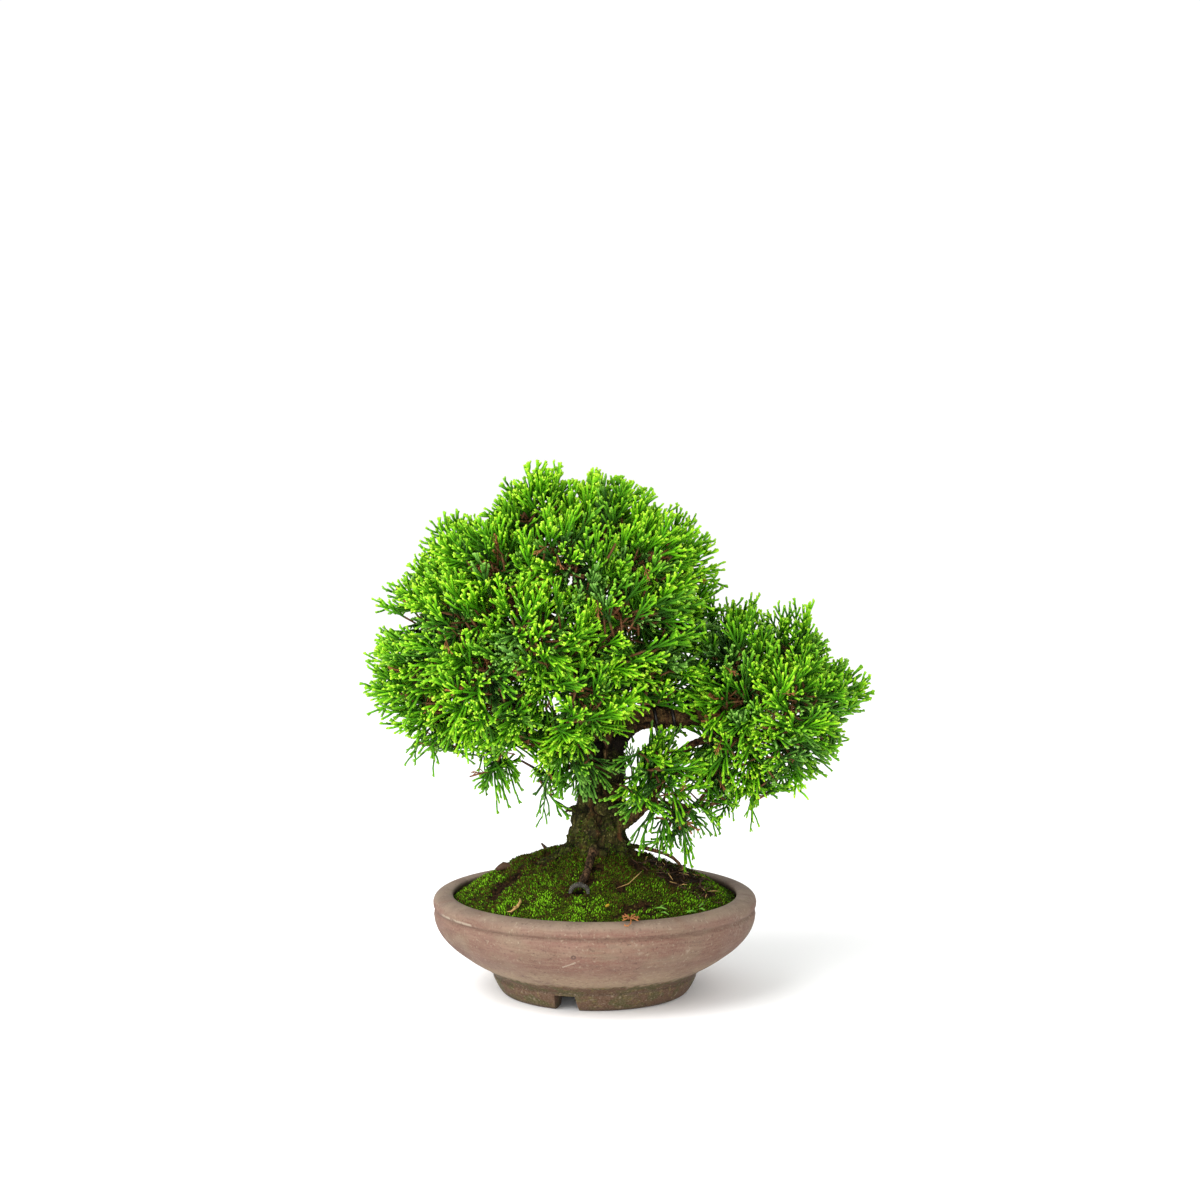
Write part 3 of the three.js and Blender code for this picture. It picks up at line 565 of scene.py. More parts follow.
def clay_material():
    material, tree, surface = start_material("unglazed_clay", CLAY_ROUGHNESS, 0.32)
    place = add(tree, "ShaderNodeTexCoord").outputs["Object"]
    axis = add(tree, "ShaderNodeVectorMath", {0: place, 1: POT_AXIS * MM}, operation="SUBTRACT")
    parts = add(tree, "ShaderNodeSeparateXYZ", {0: axis.outputs[0]})
    height = parts.outputs[2]
    level = add(tree, "ShaderNodeCombineXYZ", {0: parts.outputs[0], 1: parts.outputs[1]})
    links = {0: level.outputs[0]}
    radius = add(tree, "ShaderNodeVectorMath", links, operation="LENGTH").outputs["Value"]
    colour = colour_mix(tree, mottle(tree, 22, 0.4, 0.62), (94, 65, 54), (103, 74, 63))
    taupe = mottle(tree, 30, 0.44, 0.64, stretch=(1, 1, 2.2), shift=(0.3, 0.1, 0.0))
    colour = tint(tree, colour, taupe, 0.75, (106, 90, 73))
    warm = times(tree, near(tree, place, WARM_PATCH, 8, 42), 0.5)
    streaks = mottle(tree, 9, 0.35, 0.6, stretch=(0.6, 0.6, 3.0), shift=(0.0, 0.0, 0.4))
    colour = tint(tree, colour, warm, streaks, (107, 68, 57))
    brushed = mottle(tree, 5, 0.42, 0.66, stretch=(0.45, 0.45, 4.0), shift=(0.2, 0.0, 0.1))
    colour = tint(tree, colour, brushed, 0.34, (126, 103, 86))
    smoky = mottle(tree, 6, 0.5, 0.7, stretch=(0.5, 0.5, 3.2), shift=(0.0, 0.7, 0.3))
    colour = tint(tree, colour, smoky, 0.34, (78, 54, 46))
    low_body = fade(tree, height, *LOW_BODY_FADE)
    low_share = times(tree, low_body, mottle(tree, 16, 0.3, 0.55, shift=(0, 0.2, 0)))
    colour = tint(tree, colour, low_share, 0.75, (142, 122, 99))
    dusty = times(tree, low_body, mottle(tree, 2.4, 0.5, 0.64, shift=(0.3, 0.3, 0)))
    colour = tint(tree, colour, dusty, 0.5, (150, 136, 108))
    rim_tone = colour_mix(tree, mottle(tree, 14, 0.4, 0.6), (104, 87, 75), (118, 101, 86))
    rim_wear = mottle(tree, 11, 0.2, 0.5, shift=(0.1, 0, 0))
    colour = tint(tree, colour, fade(tree, height, *RIM_FADE), rim_wear, rim_tone)
    # Painted shade in the groove under the rim.
    colour = tint(tree, colour, band(tree, height, *GROOVE_SHADE_BAND), 0.35, (78, 56, 46))
    ragged = calc(tree, "ADD", height, times(tree, mottle(tree, 3.5, 0.3, 0.7), 1.6 * MM))
    colour = colour_mix(tree, fade(tree, ragged, *FOOT_FADE), colour, foot_colour(tree, height))
    # Painted shade along the foot's bottom edge.
    colour = tint(tree, colour, fade(tree, height, *HEM_SHADE_FADE), 0.6, (54, 36, 25))
    # Painted shade in the recess under the pot.
    roof, wall = fade(tree, height, *RECESS_SHADE_ROOF_FADE), fade(tree, radius, *RECESS_SHADE_WALL_FADE)
    colour = tint(tree, colour, times(tree, roof, wall), 0.9, (30, 22, 16))
    slope = calc(tree, "ADD", times(tree, height, INSIDE_SLOPE), INSIDE_START * MM)
    outwards = calc(tree, "SUBTRACT", radius, calc(tree, "MINIMUM", slope, INSIDE_LIMIT * MM))
    inner = times(tree, fade(tree, height, *INSIDE_FADE), fade(tree, outwards, 0.6, -0.6))
    damp = times(tree, inner, fade(tree, height, *INNER_FLOOR_FADE))
    colour = tint(tree, colour, damp, 0.8, (47, 39, 31))
    grain = mottle(tree, 0.9, 0.2, 0.8)
    colour = tint(tree, colour, grain, 0.34, (132, 112, 95))
    grit = mottle(tree, 1.7, 0.6, 0.7, shift=(0.5, 0, 0))
    colour = tint(tree, colour, grit, 0.42, (144, 130, 110))
    dark_grit = mottle(tree, 1.5, 0.6, 0.7, shift=(0, 0.6, 0))
    colour = tint(tree, colour, dark_grit, 0.42, (58, 40, 32))
    colour = tint(tree, colour, pale_marks(tree, place, height), 0.7, (150, 138, 120))
    dimple_floor = near(tree, place, DIMPLE, 0.2, 0.6)
    ring = calc(tree, "SUBTRACT", near(tree, place, DIMPLE, 1.1, 0.5), dimple_floor)
    colour = tint(tree, colour, ring, 0.6, (54, 40, 35))
    tree.links.new(colour, surface.inputs["Base Color"])
    sheen = times(tree, mottle(tree, 18, 0.35, 0.65), 0.14)
    roughness = calc(tree, "SUBTRACT", CLAY_ROUGHNESS, sheen)
    tree.links.new(roughness, surface.inputs["Roughness"])
    relief = times(tree, grain, 0.35)
    relief = calc(tree, "ADD", relief, times(tree, grit, 0.4))
    relief = calc(tree, "SUBTRACT", relief, times(tree, dark_grit, 0.8))
    dimple = near(tree, place, DIMPLE, 0.6, 0.6)
    relief = calc(tree, "SUBTRACT", relief, times(tree, dimple, 3.0))
    relief = calc(tree, "ADD", relief, times(tree, streaks, 0.5))
    roughen(tree, surface, relief, 0.55, 0.25)
    return material


# How far the hand-thrown wall strays from a true circle, and the depth of its throwing rings.
WALL_WOBBLE = 0.35
THROWING_RING = 0.07
RING_SPACING = 1.7
# Edges of the pot that turn by more than this stay sharp.
SHARP_TURN = math.radians(48)


def make_pot():
    outline = rounded(POT_PROFILE)
    base = mesh_of("pot_outline", outline, [], offset=Vector())
    values = {
        "Outline points": len(outline),
        "Segments": POT_SEGMENTS,
        "Notches": NOTCH_COUNT,
        "Notch width": NOTCH_WIDTH * MM,
        "Notch height": NOTCH_HEIGHT * MM,
        "Notch taper": NOTCH_TAPER,
        "Notch reach": NOTCH_REACH * MM,
        "Notch distance": NOTCH_MIDDLE * MM,
        "Notch angle": NOTCH_FRONT_ANGLE,
        "Axis": list(POT_AXIS * MM),
    }
    mesh = grow("clay_pot", base, turning_tree(), values)
    points = points_of(mesh)
    radius = np.hypot(points[:, 0], points[:, 1])
    angle = np.arctan2(points[:, 1], points[:, 0])
    height = points[:, 2]
    stray = np.sin(3 * angle + 0.7) + 0.6 * np.sin(5 * angle + 2.1 + height * 0.02)
    rings = np.sin(height * TAU / RING_SPACING + 0.8 * np.sin(angle))
    outside = smooth_share(height, 15.5, 20.0) * smooth_share(radius, 60.0, 66.0)
    outside *= smooth_share(height, 54.0, 50.0)
    inner_lip = smooth_share(radius, 81.0, 84.0)
    shift = outside * inner_lip * (-WALL_WOBBLE * 0.5 * np.abs(stray) + THROWING_RING * rings)
    share = shift / np.maximum(radius, 1.0)
    points[:, :2] += points[:, :2] * share[:, None]
    move_points(mesh, points)
    mesh.shade_smooth()
    mesh.set_sharp_from_angle(angle=SHARP_TURN)
    keep_only(mesh, "sharp_edge")
    put_on_body("clay_pot", mesh, ["pot"], clay_material())


def screen_material():
    """For the drain screen, which keeps its solid's shape."""
    material, tree, surface = start_material("dark_plastic", 0.5, 0.4)
    dust = mottle(tree, 3.0, 0.45, 0.65)
    colour = colour_mix(tree, dust, (28, 31, 33), (58, 50, 40))
    tree.links.new(colour, surface.inputs["Base Color"])
    scuffs = mottle(tree, 0.8, 0.3, 0.7)
    roughen(tree, surface, scuffs, 0.4, 0.1)
    return material


# Soil and moss


SOIL_EDGE_RADIUS = 77.2
SOIL_EDGE_HEIGHT = 50.6
SOIL_RISE = 28.6
SOIL_STEEPNESS = 1.6
SOIL_LUMP = 0.9
DIP_PLACE = (34.0, 2.0)
DIP_DEPTH = 3.2
DIP_REACH = 17.0
SHOULDER_PLACE = (-38.0, 2.0)
SHOULDER_HEIGHT = 2.2
SHOULDER_REACH = 18.0
HOLE_PLACE = (-8.0, -50.0)
HOLE_DEPTH = 1.6
HOLE_REACH = 3.0
HOLE_SHADE_HEIGHT = 63.0
SOIL_SEGMENTS = 220
SOIL_RINGS = 72
SOIL_UNDERSIDE = [
    (78.9, 49.2), (79.1, 47.0), (79.1, 40.2), (75.1, 31.2), (65.7, 24.2), (51.7, 19.8),
    (36.0, 18.6), (22.0, 18.5), (21.9, 20.2),
]


def hump(x, y, place, reach):
    """1 at a place, fading away round it."""
    away_x, away_y = x - place[0], y - place[1]
    return np.exp(-(away_x**2 + away_y**2) / reach**2)


def soil_height(x, y):
    """The ground's height at a place, before its small forms."""
    share = np.minimum(1.0, np.hypot(x, y) / SOIL_EDGE_RADIUS)
    mound = SOIL_RISE * (1 - share**SOIL_STEEPNESS)
    lean = -0.03 * x * (1 - share)
    waves = np.sin(x * 0.21 + 1) * np.cos(y * 0.26) + 0.5 * np.sin(y * 0.47 + x * 0.1)
    lumps = SOIL_LUMP * (1 - share**4) * waves
    dip = DIP_DEPTH * hump(x, y, DIP_PLACE, DIP_REACH)
    shoulder = SHOULDER_HEIGHT * hump(x, y, SHOULDER_PLACE, SHOULDER_REACH)
    from_hole = np.hypot(x - HOLE_PLACE[0], y - HOLE_PLACE[1])
    hole = HOLE_DEPTH * np.exp(-((from_hole / HOLE_REACH) ** 4))
    return SOIL_EDGE_HEIGHT + mound + lean + lumps - dip + shoulder - hole


# Bare brown soil shows mostly to the right of the trunk, and in small patches elsewhere:
# place, reach and how bare it is. Those at (-8, -50.5), (-1, -41) and (2, -30) are painted
# shade: dark bare soil in the hollow under the callus and beside the front root.
BARE_PLACES = [
    (44, -18, 14, 0.85), (52, -6, 14, 0.85), (60, -17, 7, 0.6), (40, 6, 16, 0.9),
    (27, -15, 10, 0.6), (18, -62, 7, 0.65), (26, -54, 8, 0.6), (13, -45, 7, 0.45),
    (-8, -50.5, 3, 1.3), (-15, -50, 4, 0.7), (2, -30, 5, 0.8), (-1, -41, 4.5, 1),
    (-51, -29, 10, 0.8), (-40, -22, 9, 0.6), (-25, -13, 9, 0.7), (-62, -24, 7, 0.6),
    (-30, -36, 5, 0.4),
]
# Where the moss is at its brightest: place, reach and how bright.
BRIGHT_PLACES = [
    (-4, -68, 10, 0.5), (-58, 0, 10, 0.5), (-29, -52, 10, 0.35), (-11, -31, 8, 0.3),
    (64, 9, 10, 0.5), (45, -45, 11, 0.3), (-40, -54, 9, 0.35), (29, -57, 7, 0.25),
    (-35, -38, 7, 0.25), (-66, -12, 7, 0.3), (54, -52, 6, 0.3), (-50, -48, 7, 0.3),
]
MOSS_CLUMP_SIZE = 9.0
SPECK_SIZE = 1.7
# How high the ground's small forms stand, their sizes, and how far it lies under the solid.
CUSHION_HEIGHT = 1.2
GRAIN_HEIGHT = 0.35
CRUMB_HEIGHT = 1.3
CRUMB_SIZE = 2.6
HUMMOCK_HEIGHT = 0.9
HUMMOCK_SIZE = 7.5
MOSS_ROOM = 0.4


def strongest(places, x, y):
    """The strongest of the patches at a place, each fading with distance."""
    best = 0.0
    for place_x, place_y, reach, strength in places:
        gap = math.hypot(x - place_x, y - place_y) / reach
        best = max(best, strength * math.exp(-gap * gap))
    return best


def moss_at(x, y, z):
    """Cover, clump and brightness of the moss at a place, each from 0 to 1."""
    cloud = 0.5 + 0.5 * noise.fractal(Vector((x, y, 7.0)) / 12.0, 1.0, 2.0, 3)
    fine = noise.noise(Vector((x, y, z)) / 3.1)
    level = cloud + 0.5 * fine - strongest(BARE_PLACES, x, y) + 0.22
    speck = noise.noise(Vector((x, y, z)) / SPECK_SIZE)
    cover = float(smooth_share(level, 0.16, 0.5) * smooth_share(speck, -0.42, -0.12))
    wander = noise.noise_vector(Vector((x, y, z)) / 6.0) * 1.6
    gaps, _ = noise.voronoi((Vector((x, y, z * 1.4)) + wander) / MOSS_CLUMP_SIZE)
    clump = max(0.0, 1 - (gaps[0] / 0.72) ** 2)
    drift = noise.noise(Vector((x, y, 31.0)) / 9.0)
    bright = 0.24 + 0.4 * drift + 0.8 * strongest(BRIGHT_PLACES, x, y) + 0.2 * (clump - 0.5)
    bright += 0.55 * speck - 0.32 * float(smooth_share(z, 55.0, 72.0))
    return cover, clump, min(max(bright, 0.0), 1.0)


def make_soil_mesh():
    points = [(0.0, 0.0, float(soil_height(0.0, 0.0)))]
    rings = [SOIL_EDGE_RADIUS * (k / SOIL_RINGS) ** 0.85 for k in range(1, SOIL_RINGS + 1)]
    angles = np.arange(SOIL_SEGMENTS) * TAU / SOIL_SEGMENTS
    for radius in rings:
        x = radius * np.cos(angles)
        y = radius * np.sin(angles)
        points += list(zip(x, y, soil_height(x, y)))
    for radius, height in SOIL_UNDERSIDE:
        points += [(radius * math.cos(a), radius * math.sin(a), height) for a in angles]
    n = SOIL_SEGMENTS
    faces = [[0, 1 + i, 1 + (i + 1) % n] for i in range(n)]
    total = len(rings) + len(SOIL_UNDERSIDE)
    for k in range(total - 1):
        inner, outer = 1 + k * n, 1 + (k + 1) * n
        for i in range(n):
            j = (i + 1) % n
            faces.append([inner + i, outer + i, outer + j, inner + j])
    base = len(points)
    points.append((0.0, 0.0, SOIL_UNDERSIDE[-1][1]))
    last = 1 + (total - 1) * n
    faces += [[base, last + (i + 1) % n, last + i] for i in range(n)]
    points = np.array(points)
    moss, clump, bright = (np.zeros(len(points)) for _ in range(3))
    for k in range(1 + SOIL_RINGS * n):
        x, y, z = points[k]
        moss[k], clump[k], bright[k] = moss_at(x, y, z)
        lift = CUSHION_HEIGHT * moss[k] * math.sqrt(clump[k])
        lift += GRAIN_HEIGHT * noise.noise(Vector((x, y, 0.0)) / SPECK_SIZE)
        crumbs = noise.fractal(Vector((x, y, 1.0)) / CRUMB_SIZE, 1.0, 2.0, 3)
        lift += CRUMB_HEIGHT * (1 - moss[k]) * crumbs
        lift += HUMMOCK_HEIGHT * noise.noise(Vector((x, y, 5.0)) / HUMMOCK_SIZE)
        edge = float(smooth_share(math.hypot(x, y), SOIL_EDGE_RADIUS, SOIL_EDGE_RADIUS - 4))
        points[k, 2] += lift * edge - MOSS_ROOM
    return mesh_of("soil_mound", points, faces, moss=moss, clump=clump, bright=bright)


def soil_material():
    material, tree, surface = start_material("mossy_soil", 0.95, 0.05)
    crumbs = mottle(tree, 2.0, 0.35, 0.65)
    earth = colour_mix(tree, crumbs, (9, 5, 2), (42, 27, 13))
    bits = mottle(tree, 1.1, 0.6, 0.7, shift=(0, 0.4, 0))
    earth = tint(tree, earth, bits, 0.5, (96, 72, 42))
    grains = mottle(tree, 0.8, 0.42, 0.62)
    moss = colour_mix(tree, grains, (12, 14, 1), (56, 72, 6))
    glints = mottle(tree, 0.7, 0.6, 0.7, shift=(0.4, 0, 0))
    moss = tint(tree, moss, glints, 0.7, (110, 150, 14))
    colour = colour_mix(tree, share_on(tree, "moss"), earth, moss)
    place = add(tree, "ShaderNodeTexCoord").outputs["Object"]
    # Painted shade: the soil is near black in the hollow under the root's callus.
    hole = near(tree, place, (*HOLE_PLACE, HOLE_SHADE_HEIGHT), 2.0, 1.8)
    colour = colour_mix(tree, hole, colour, (7, 5, 2))
    tree.links.new(colour, surface.inputs["Base Color"])
    roughen(tree, surface, crumbs, 0.8, 0.5)
    return material


# The UV map of the moss and the foliage, which holds each point's tone and age.
PALETTE = "OFBake"


def palette_store(tree, geometry):
    """Writes each point's tone and age as the piece's own UV map, which its finish reads."""
    pair = add(tree, "ShaderNodeCombineXYZ", {0: stored(tree, "tone"), 1: stored(tree, "age")})
    links = {"Geometry": geometry, "Name": PALETTE, "Value": pair.outputs[0]}
    kind = {"data_type": "FLOAT2", "domain": "CORNER"}
    return add(tree, "GeometryNodeStoreNamedAttribute", links, **kind).outputs[0]


def tone_and_age(tree):
    palette = add(tree, "ShaderNodeUVMap", uv_map=PALETTE).outputs[0]
    parts = add(tree, "ShaderNodeSeparateXYZ", {0: palette})
    return parts.outputs[0], parts.outputs[1]


def with_tone(tree, plants, tone):
    """Gives each scattered plant or spray its tone."""
    links = {"Geometry": plants, "Name": "tone", "Value": tone}
    kind = {"data_type": "FLOAT", "domain": "INSTANCE"}
    return add(tree, "GeometryNodeStoreNamedAttribute", links, **kind).outputs[0]


def close_tree(tree, end, geometry, material, palette=True):
    """The common end of a tree: real meshes, the palette map, smooth shading and the finish."""
    real = add(tree, "GeometryNodeRealizeInstances", {0: geometry}).outputs[0]
    mapped = palette_store(tree, real) if palette else real
    smooth = add(tree, "GeometryNodeSetShadeSmooth", {"Geometry": mapped})
    links = {"Geometry": smooth.outputs[0], "Material": material}
    finished = add(tree, "GeometryNodeSetMaterial", links)
    tree.links.new(finished.outputs[0], end.inputs[0])


ROLL_SEED = 5
TONE_SEED = 9
# Plants for each square metre of the ground and of the bark, where the moss is thickest.
SOIL_MOSS_DENSITY = 1800000.0
SOIL_MOSS_SEED = 3
TRUNK_MOSS_DENSITY = 900000.0
TRUNK_MOSS_SEED = 8


def scatter_tree():
    """Scatters small plants over a surface, thick where its moss share is high."""
    inputs = {
        "Ground": (GEOMETRY, None),
        "Plant": ("NodeSocketObject", None),
        "Plants per square metre": (NUMBER, 700000.0),
        "Smallest": (NUMBER, 0.7),
        "Largest": (NUMBER, 1.3),
        "Seed": (COUNT, 1),
        "Finish": (MATERIAL, None),
    }
    tree, start, end = new_tree("GeometryNodeTree", "moss_scatter", inputs, {"Moss": GEOMETRY})
    given = start.outputs
    clump = stored(tree, "clump")
    thick = soft_step(tree, clump, 0.0, 0.5, 0.35, 1.0)
    density = times(tree, stored(tree, "moss"), thick, given["Plants per square metre"])
    links = {"Mesh": given["Ground"], "Density": density, "Seed": given["Seed"]}
    spots = add(tree, "GeometryNodeDistributePointsOnFaces", links)
    plant = add(tree, "GeometryNodeObjectInfo", {"Object": given["Plant"]})
    draw = chance(tree, given["Smallest"], given["Largest"], given["Seed"])
    size = times(tree, draw, soft_step(tree, clump, 0.0, 0.8, 0.75, 1.1))
    roll = add(tree, "ShaderNodeCombineXYZ", {2: chance(tree, 0.0, TAU, ROLL_SEED)}).outputs[0]
    rolled = add(tree, "FunctionNodeEulerToRotation", {0: roll}).outputs[0]
    links = {0: spots.outputs["Rotation"], 1: rolled}
    turned = add(tree, "FunctionNodeRotateRotation", links, rotation_space="LOCAL")
    links = {
        "Points": spots.outputs[0],
        "Instance": plant.outputs["Geometry"],
        "Rotation": turned.outputs[0],
        "Scale": size,
    }
    plants = add(tree, "GeometryNodeInstanceOnPoints", links).outputs[0]
    stray = chance(tree, -0.6, 0.62, TONE_SEED)
    tone = calc(tree, "MAXIMUM", calc(tree, "ADD", stored(tree, "bright"), stray), 0.02)
    tone = calc(tree, "MINIMUM", tone, 0.98)
    close_tree(tree, end, with_tone(tree, plants, tone), given["Finish"])
    return tree


MOSS_SCATTER = scatter_tree()


def moss_plant():
    """One tiny leaning pointed stem, the shape that is scattered as moss."""
    plant = Growth()
    plant.tube([Vector((0, 0, -0.5)), Vector((0.28, 0.1, 0.95))], [0.5], [0.0, 1.0], 3)
    return bpy.data.objects.new("moss_plant", plant.mesh("moss_plant", offset=Vector()))


def moss_material():
    material, tree, surface = start_material("moss_green", 0.8, 0.05)
    tone, age = tone_and_age(tree)
    deep = colour_steps(tree, age, [(0.0, (5, 5, 1)), (1.0, (26, 27, 3))])
    fresh = colour_steps(tree, age, [(0.0, (10, 18, 1)), (1.0, (70, 116, 8))])
    bright = colour_steps(tree, age, [(0.0, (22, 42, 2)), (1.0, (136, 200, 34))])
    brown = colour_steps(tree, age, [(0.0, (14, 9, 3)), (1.0, (74, 55, 20))])
    colour = colour_mix(tree, soft_step(tree, tone, 0.1, 0.5), deep, fresh)
    colour = colour_mix(tree, soft_step(tree, tone, 0.5, 0.95), colour, bright)
    colour = colour_mix(tree, soft_step(tree, tone, 0.12, 0.06), colour, brown)
    tree.links.new(colour, surface.inputs["Base Color"])
    return material


# The wood: x, y, z and radius along the trunk, the roots and the branches.
WOOD = {
    "trunk": [
        (3, 3, 40, 16), (2.6, 1, 66, 20.5), (2, 0, 78, 18.6), (1.2, 0, 84, 16.2),
        (2.4, 0, 96, 14.4), (4.1, 0, 110, 13.4), (4.2, 1, 124, 13), (3.4, 2, 138, 12),
        (4, 4, 152, 10), (1, 6, 170, 7.8), (-5, 7, 190, 6), (-8, 6, 212, 4.6),
        (-10, 4, 234, 3), (-13, 3, 250, 1.8),
    ],
    "front_root": [
        (0.5, -12, 84, 4.2), (-0.8, -19, 79.8, 2.9), (-2.8, -28, 75, 2.5),
        (-5.0, -38.5, 70.6, 2.3), (-7.4, -46.5, 67.4, 2.0),
    ],
    "left_root": [(-8, -4, 81, 6.5), (-20, -7, 73.5, 5), (-32, -10, 68.5, 3.6), (-46, -16, 61, 2.4)],
    "back_root": [(2, 12, 81, 6.5), (0, 26, 73, 5), (-6, 44, 64, 3)],
    "right_root": [(11, -5, 76, 6), (22, -12, 67, 4.2), (36, -22, 60.5, 2.4)],
    "arching_root": [
        (12, 4, 79, 1.8), (22, 5, 78.4, 1.5), (34, 6, 75.4, 1.3), (43, 7, 71.6, 1.2),
        (50, 8, 64, 1),
    ],
    "dead_stub": [(-6, -2, 100, 3), (-13, -3, 100.5, 1.8), (-16.5, -3, 98.6, 0.7)],
    "stump": [(6, -2, 131, 5.5), (12, -6, 136, 5.6), (15.4, -8, 138.6, 4.4)],
    "knot": [(2, -4, 132, 7), (1, -13, 132.6, 5.6)],
    "heavy_branch": [
        (6, 2, 134, 7), (14, 1, 143, 7.4), (25, 0, 150.4, 6.8), (54, 0, 151.4, 6.4),
        (68, 1, 156, 5), (84, 2, 163, 3.6), (100, 2, 170, 2.4),
    ],
    "low_branch": [
        (8, -2, 88, 5), (18, -4, 94.6, 4.2), (28, -6, 104, 3.2), (42, -7, 127, 2.4),
        (53, -8, 137, 2.2), (72, -12, 142, 1.6),
    ],
    "low_spur": [(26, -6, 102, 2.4), (38, -9, 104.5, 1.8), (52, -12, 103, 1.3)],
    "lobe_back_branch": [(60, 2, 153, 4), (76, 14, 163, 3), (94, 22, 174, 2)],
    "lobe_front_branch": [(64, 0, 154, 3.4), (80, -14, 158, 2.6), (96, -22, 162, 1.8)],
    "left_branch": [
        (0, 1, 136, 6.4), (-18, -2, 146, 5.4), (-42, -5, 156, 4), (-66, -4, 168, 2.6),
        (-80, -3, 176, 1.8),
    ],
    "left_high_branch": [
        (-3, 6, 182, 4.4), (-22, 4, 197, 3.6), (-44, 2, 212, 2.4), (-58, 2, 222, 1.8),
    ],
    "back_branch": [(3, 5, 156, 4.6), (-6, 24, 170, 3.8), (-20, 42, 184, 2.2)],
    "front_branch": [(2, 0, 160, 4.4), (-10, -18, 172, 3.4), (-24, -36, 186, 2.2)],
    "right_high_branch": [(-5, 7, 194, 4), (12, 6, 208, 3), (30, 5, 222, 2)],
}
BEARING_BRANCHES = [
    "trunk", "heavy_branch", "low_branch", "low_spur", "lobe_back_branch", "lobe_front_branch",
    "left_branch", "left_high_branch", "back_branch", "front_branch", "right_high_branch",
]
LIMB_SIDES = 18
LIMB_STEP = 2.4
BARK_VOXEL = 0.92
TWIG_SIDES = 7
TWIG_STEP = 4.0


def smooth_path(points, step):
    """Points with radii along a smooth line through the given ones, about step apart."""
    given = [Vector(p) for p in points]
    first = given[0] * 2 - given[1]
    last = given[-1] * 2 - given[-2]
    padded = [first, *given, last]
    path = []
    for k in range(1, len(padded) - 2):
        before, start, stop, after = padded[k - 1 : k + 3]
        length = (stop.to_3d() - start.to_3d()).length
        count = max(1, round(length / step))
        for i in range(count):
            t = i / count
            point = 2 * start + (stop - before) * t
            point += (2 * before - 5 * start + 4 * stop - after) * t * t
            point += (3 * start - before - 3 * stop + after) * t * t * t
            path.append(0.5 * point)
    path.append(given[-1])
    return path


def add_limb(growth, points, sides, step):
    path = smooth_path(points, step)
    spine = [p.to_3d() for p in path]
    radii = [p[3] for p in path]
    ahead = (spine[-1] - spine[-2]).normalized()
    rounded_end = [spine[-1] + ahead * radii[-1] * 0.45, spine[-1] + ahead * radii[-1] * 0.65]
    ages = [0.0] * (len(spine) + 2)
    growth.tube(spine + rounded_end, radii + [radii[-1] * 0.7], ages, sides)


def limb_lines():
    """The limbs as straight stretches: their starts, ends and the radii there."""
    rows = []
    for limb in WOOD.values():
        for near_end, far_end in zip(limb, limb[1:]):
            rows.append([*near_end, *far_end])
    return np.array(rows, float)


def nearest_limb(points, rows):
    """For each point the nearest stretch of limb: its direction and its radius there."""
    best = np.full(len(points), np.inf)
    radius = np.zeros(len(points))
    heading = np.zeros((len(points), 3))
    for row in rows:
        start, start_radius, stop, stop_radius = row[:3], row[3], row[4:7], row[7]
        line = stop - start
        along = np.clip((points - start) @ line / (line @ line), 0, 1)
        gap = np.linalg.norm(points - start - along[:, None] * line, axis=1)
        here = mix(start_radius, stop_radius, along)
        depth = gap - here
        closer = depth < best
        best[closer] = depth[closer]
        radius[closer] = here[closer]
        heading[closer] = line / np.linalg.norm(line)
    return radius, heading


PLATE_WIDTH = 6.4
PLATE_STRETCH = 0.36
CRACK_DEPTH = 3.4
HOLLOW_MIDDLE = (1.4, -12.5, 133.4)
HOLLOW_HALF_WIDTH = 4.6
HOLLOW_HALF_HEIGHT = 7.6
HOLLOW_DEPTH = 5.5
PLATE_MIDDLE = (7.0, 102.6)
PLATE_HALF_WIDTH = 8.0
PLATE_HALF_HEIGHT = 4.8
STUMP_MIDDLE = (14.0, -7.0, 137.5)
STUMP_REACH = 7.5
BARE_ROOT_HALF_WIDTH = 4.6
# Moss on the bark: its strength, the heights where it ends and is full, and how patchy it is.
BARK_MOSS = [(1, 104, 84, 0.4, 0.62), (1, 88, 79, 0.25, 0.5), (0.5, 150, 100, 0.6, 0.75)]


def ridge(value, middle, width):
    """1 where value is at the middle, fading on both sides of it."""
    return np.exp(-(((value - middle) / width) ** 2))


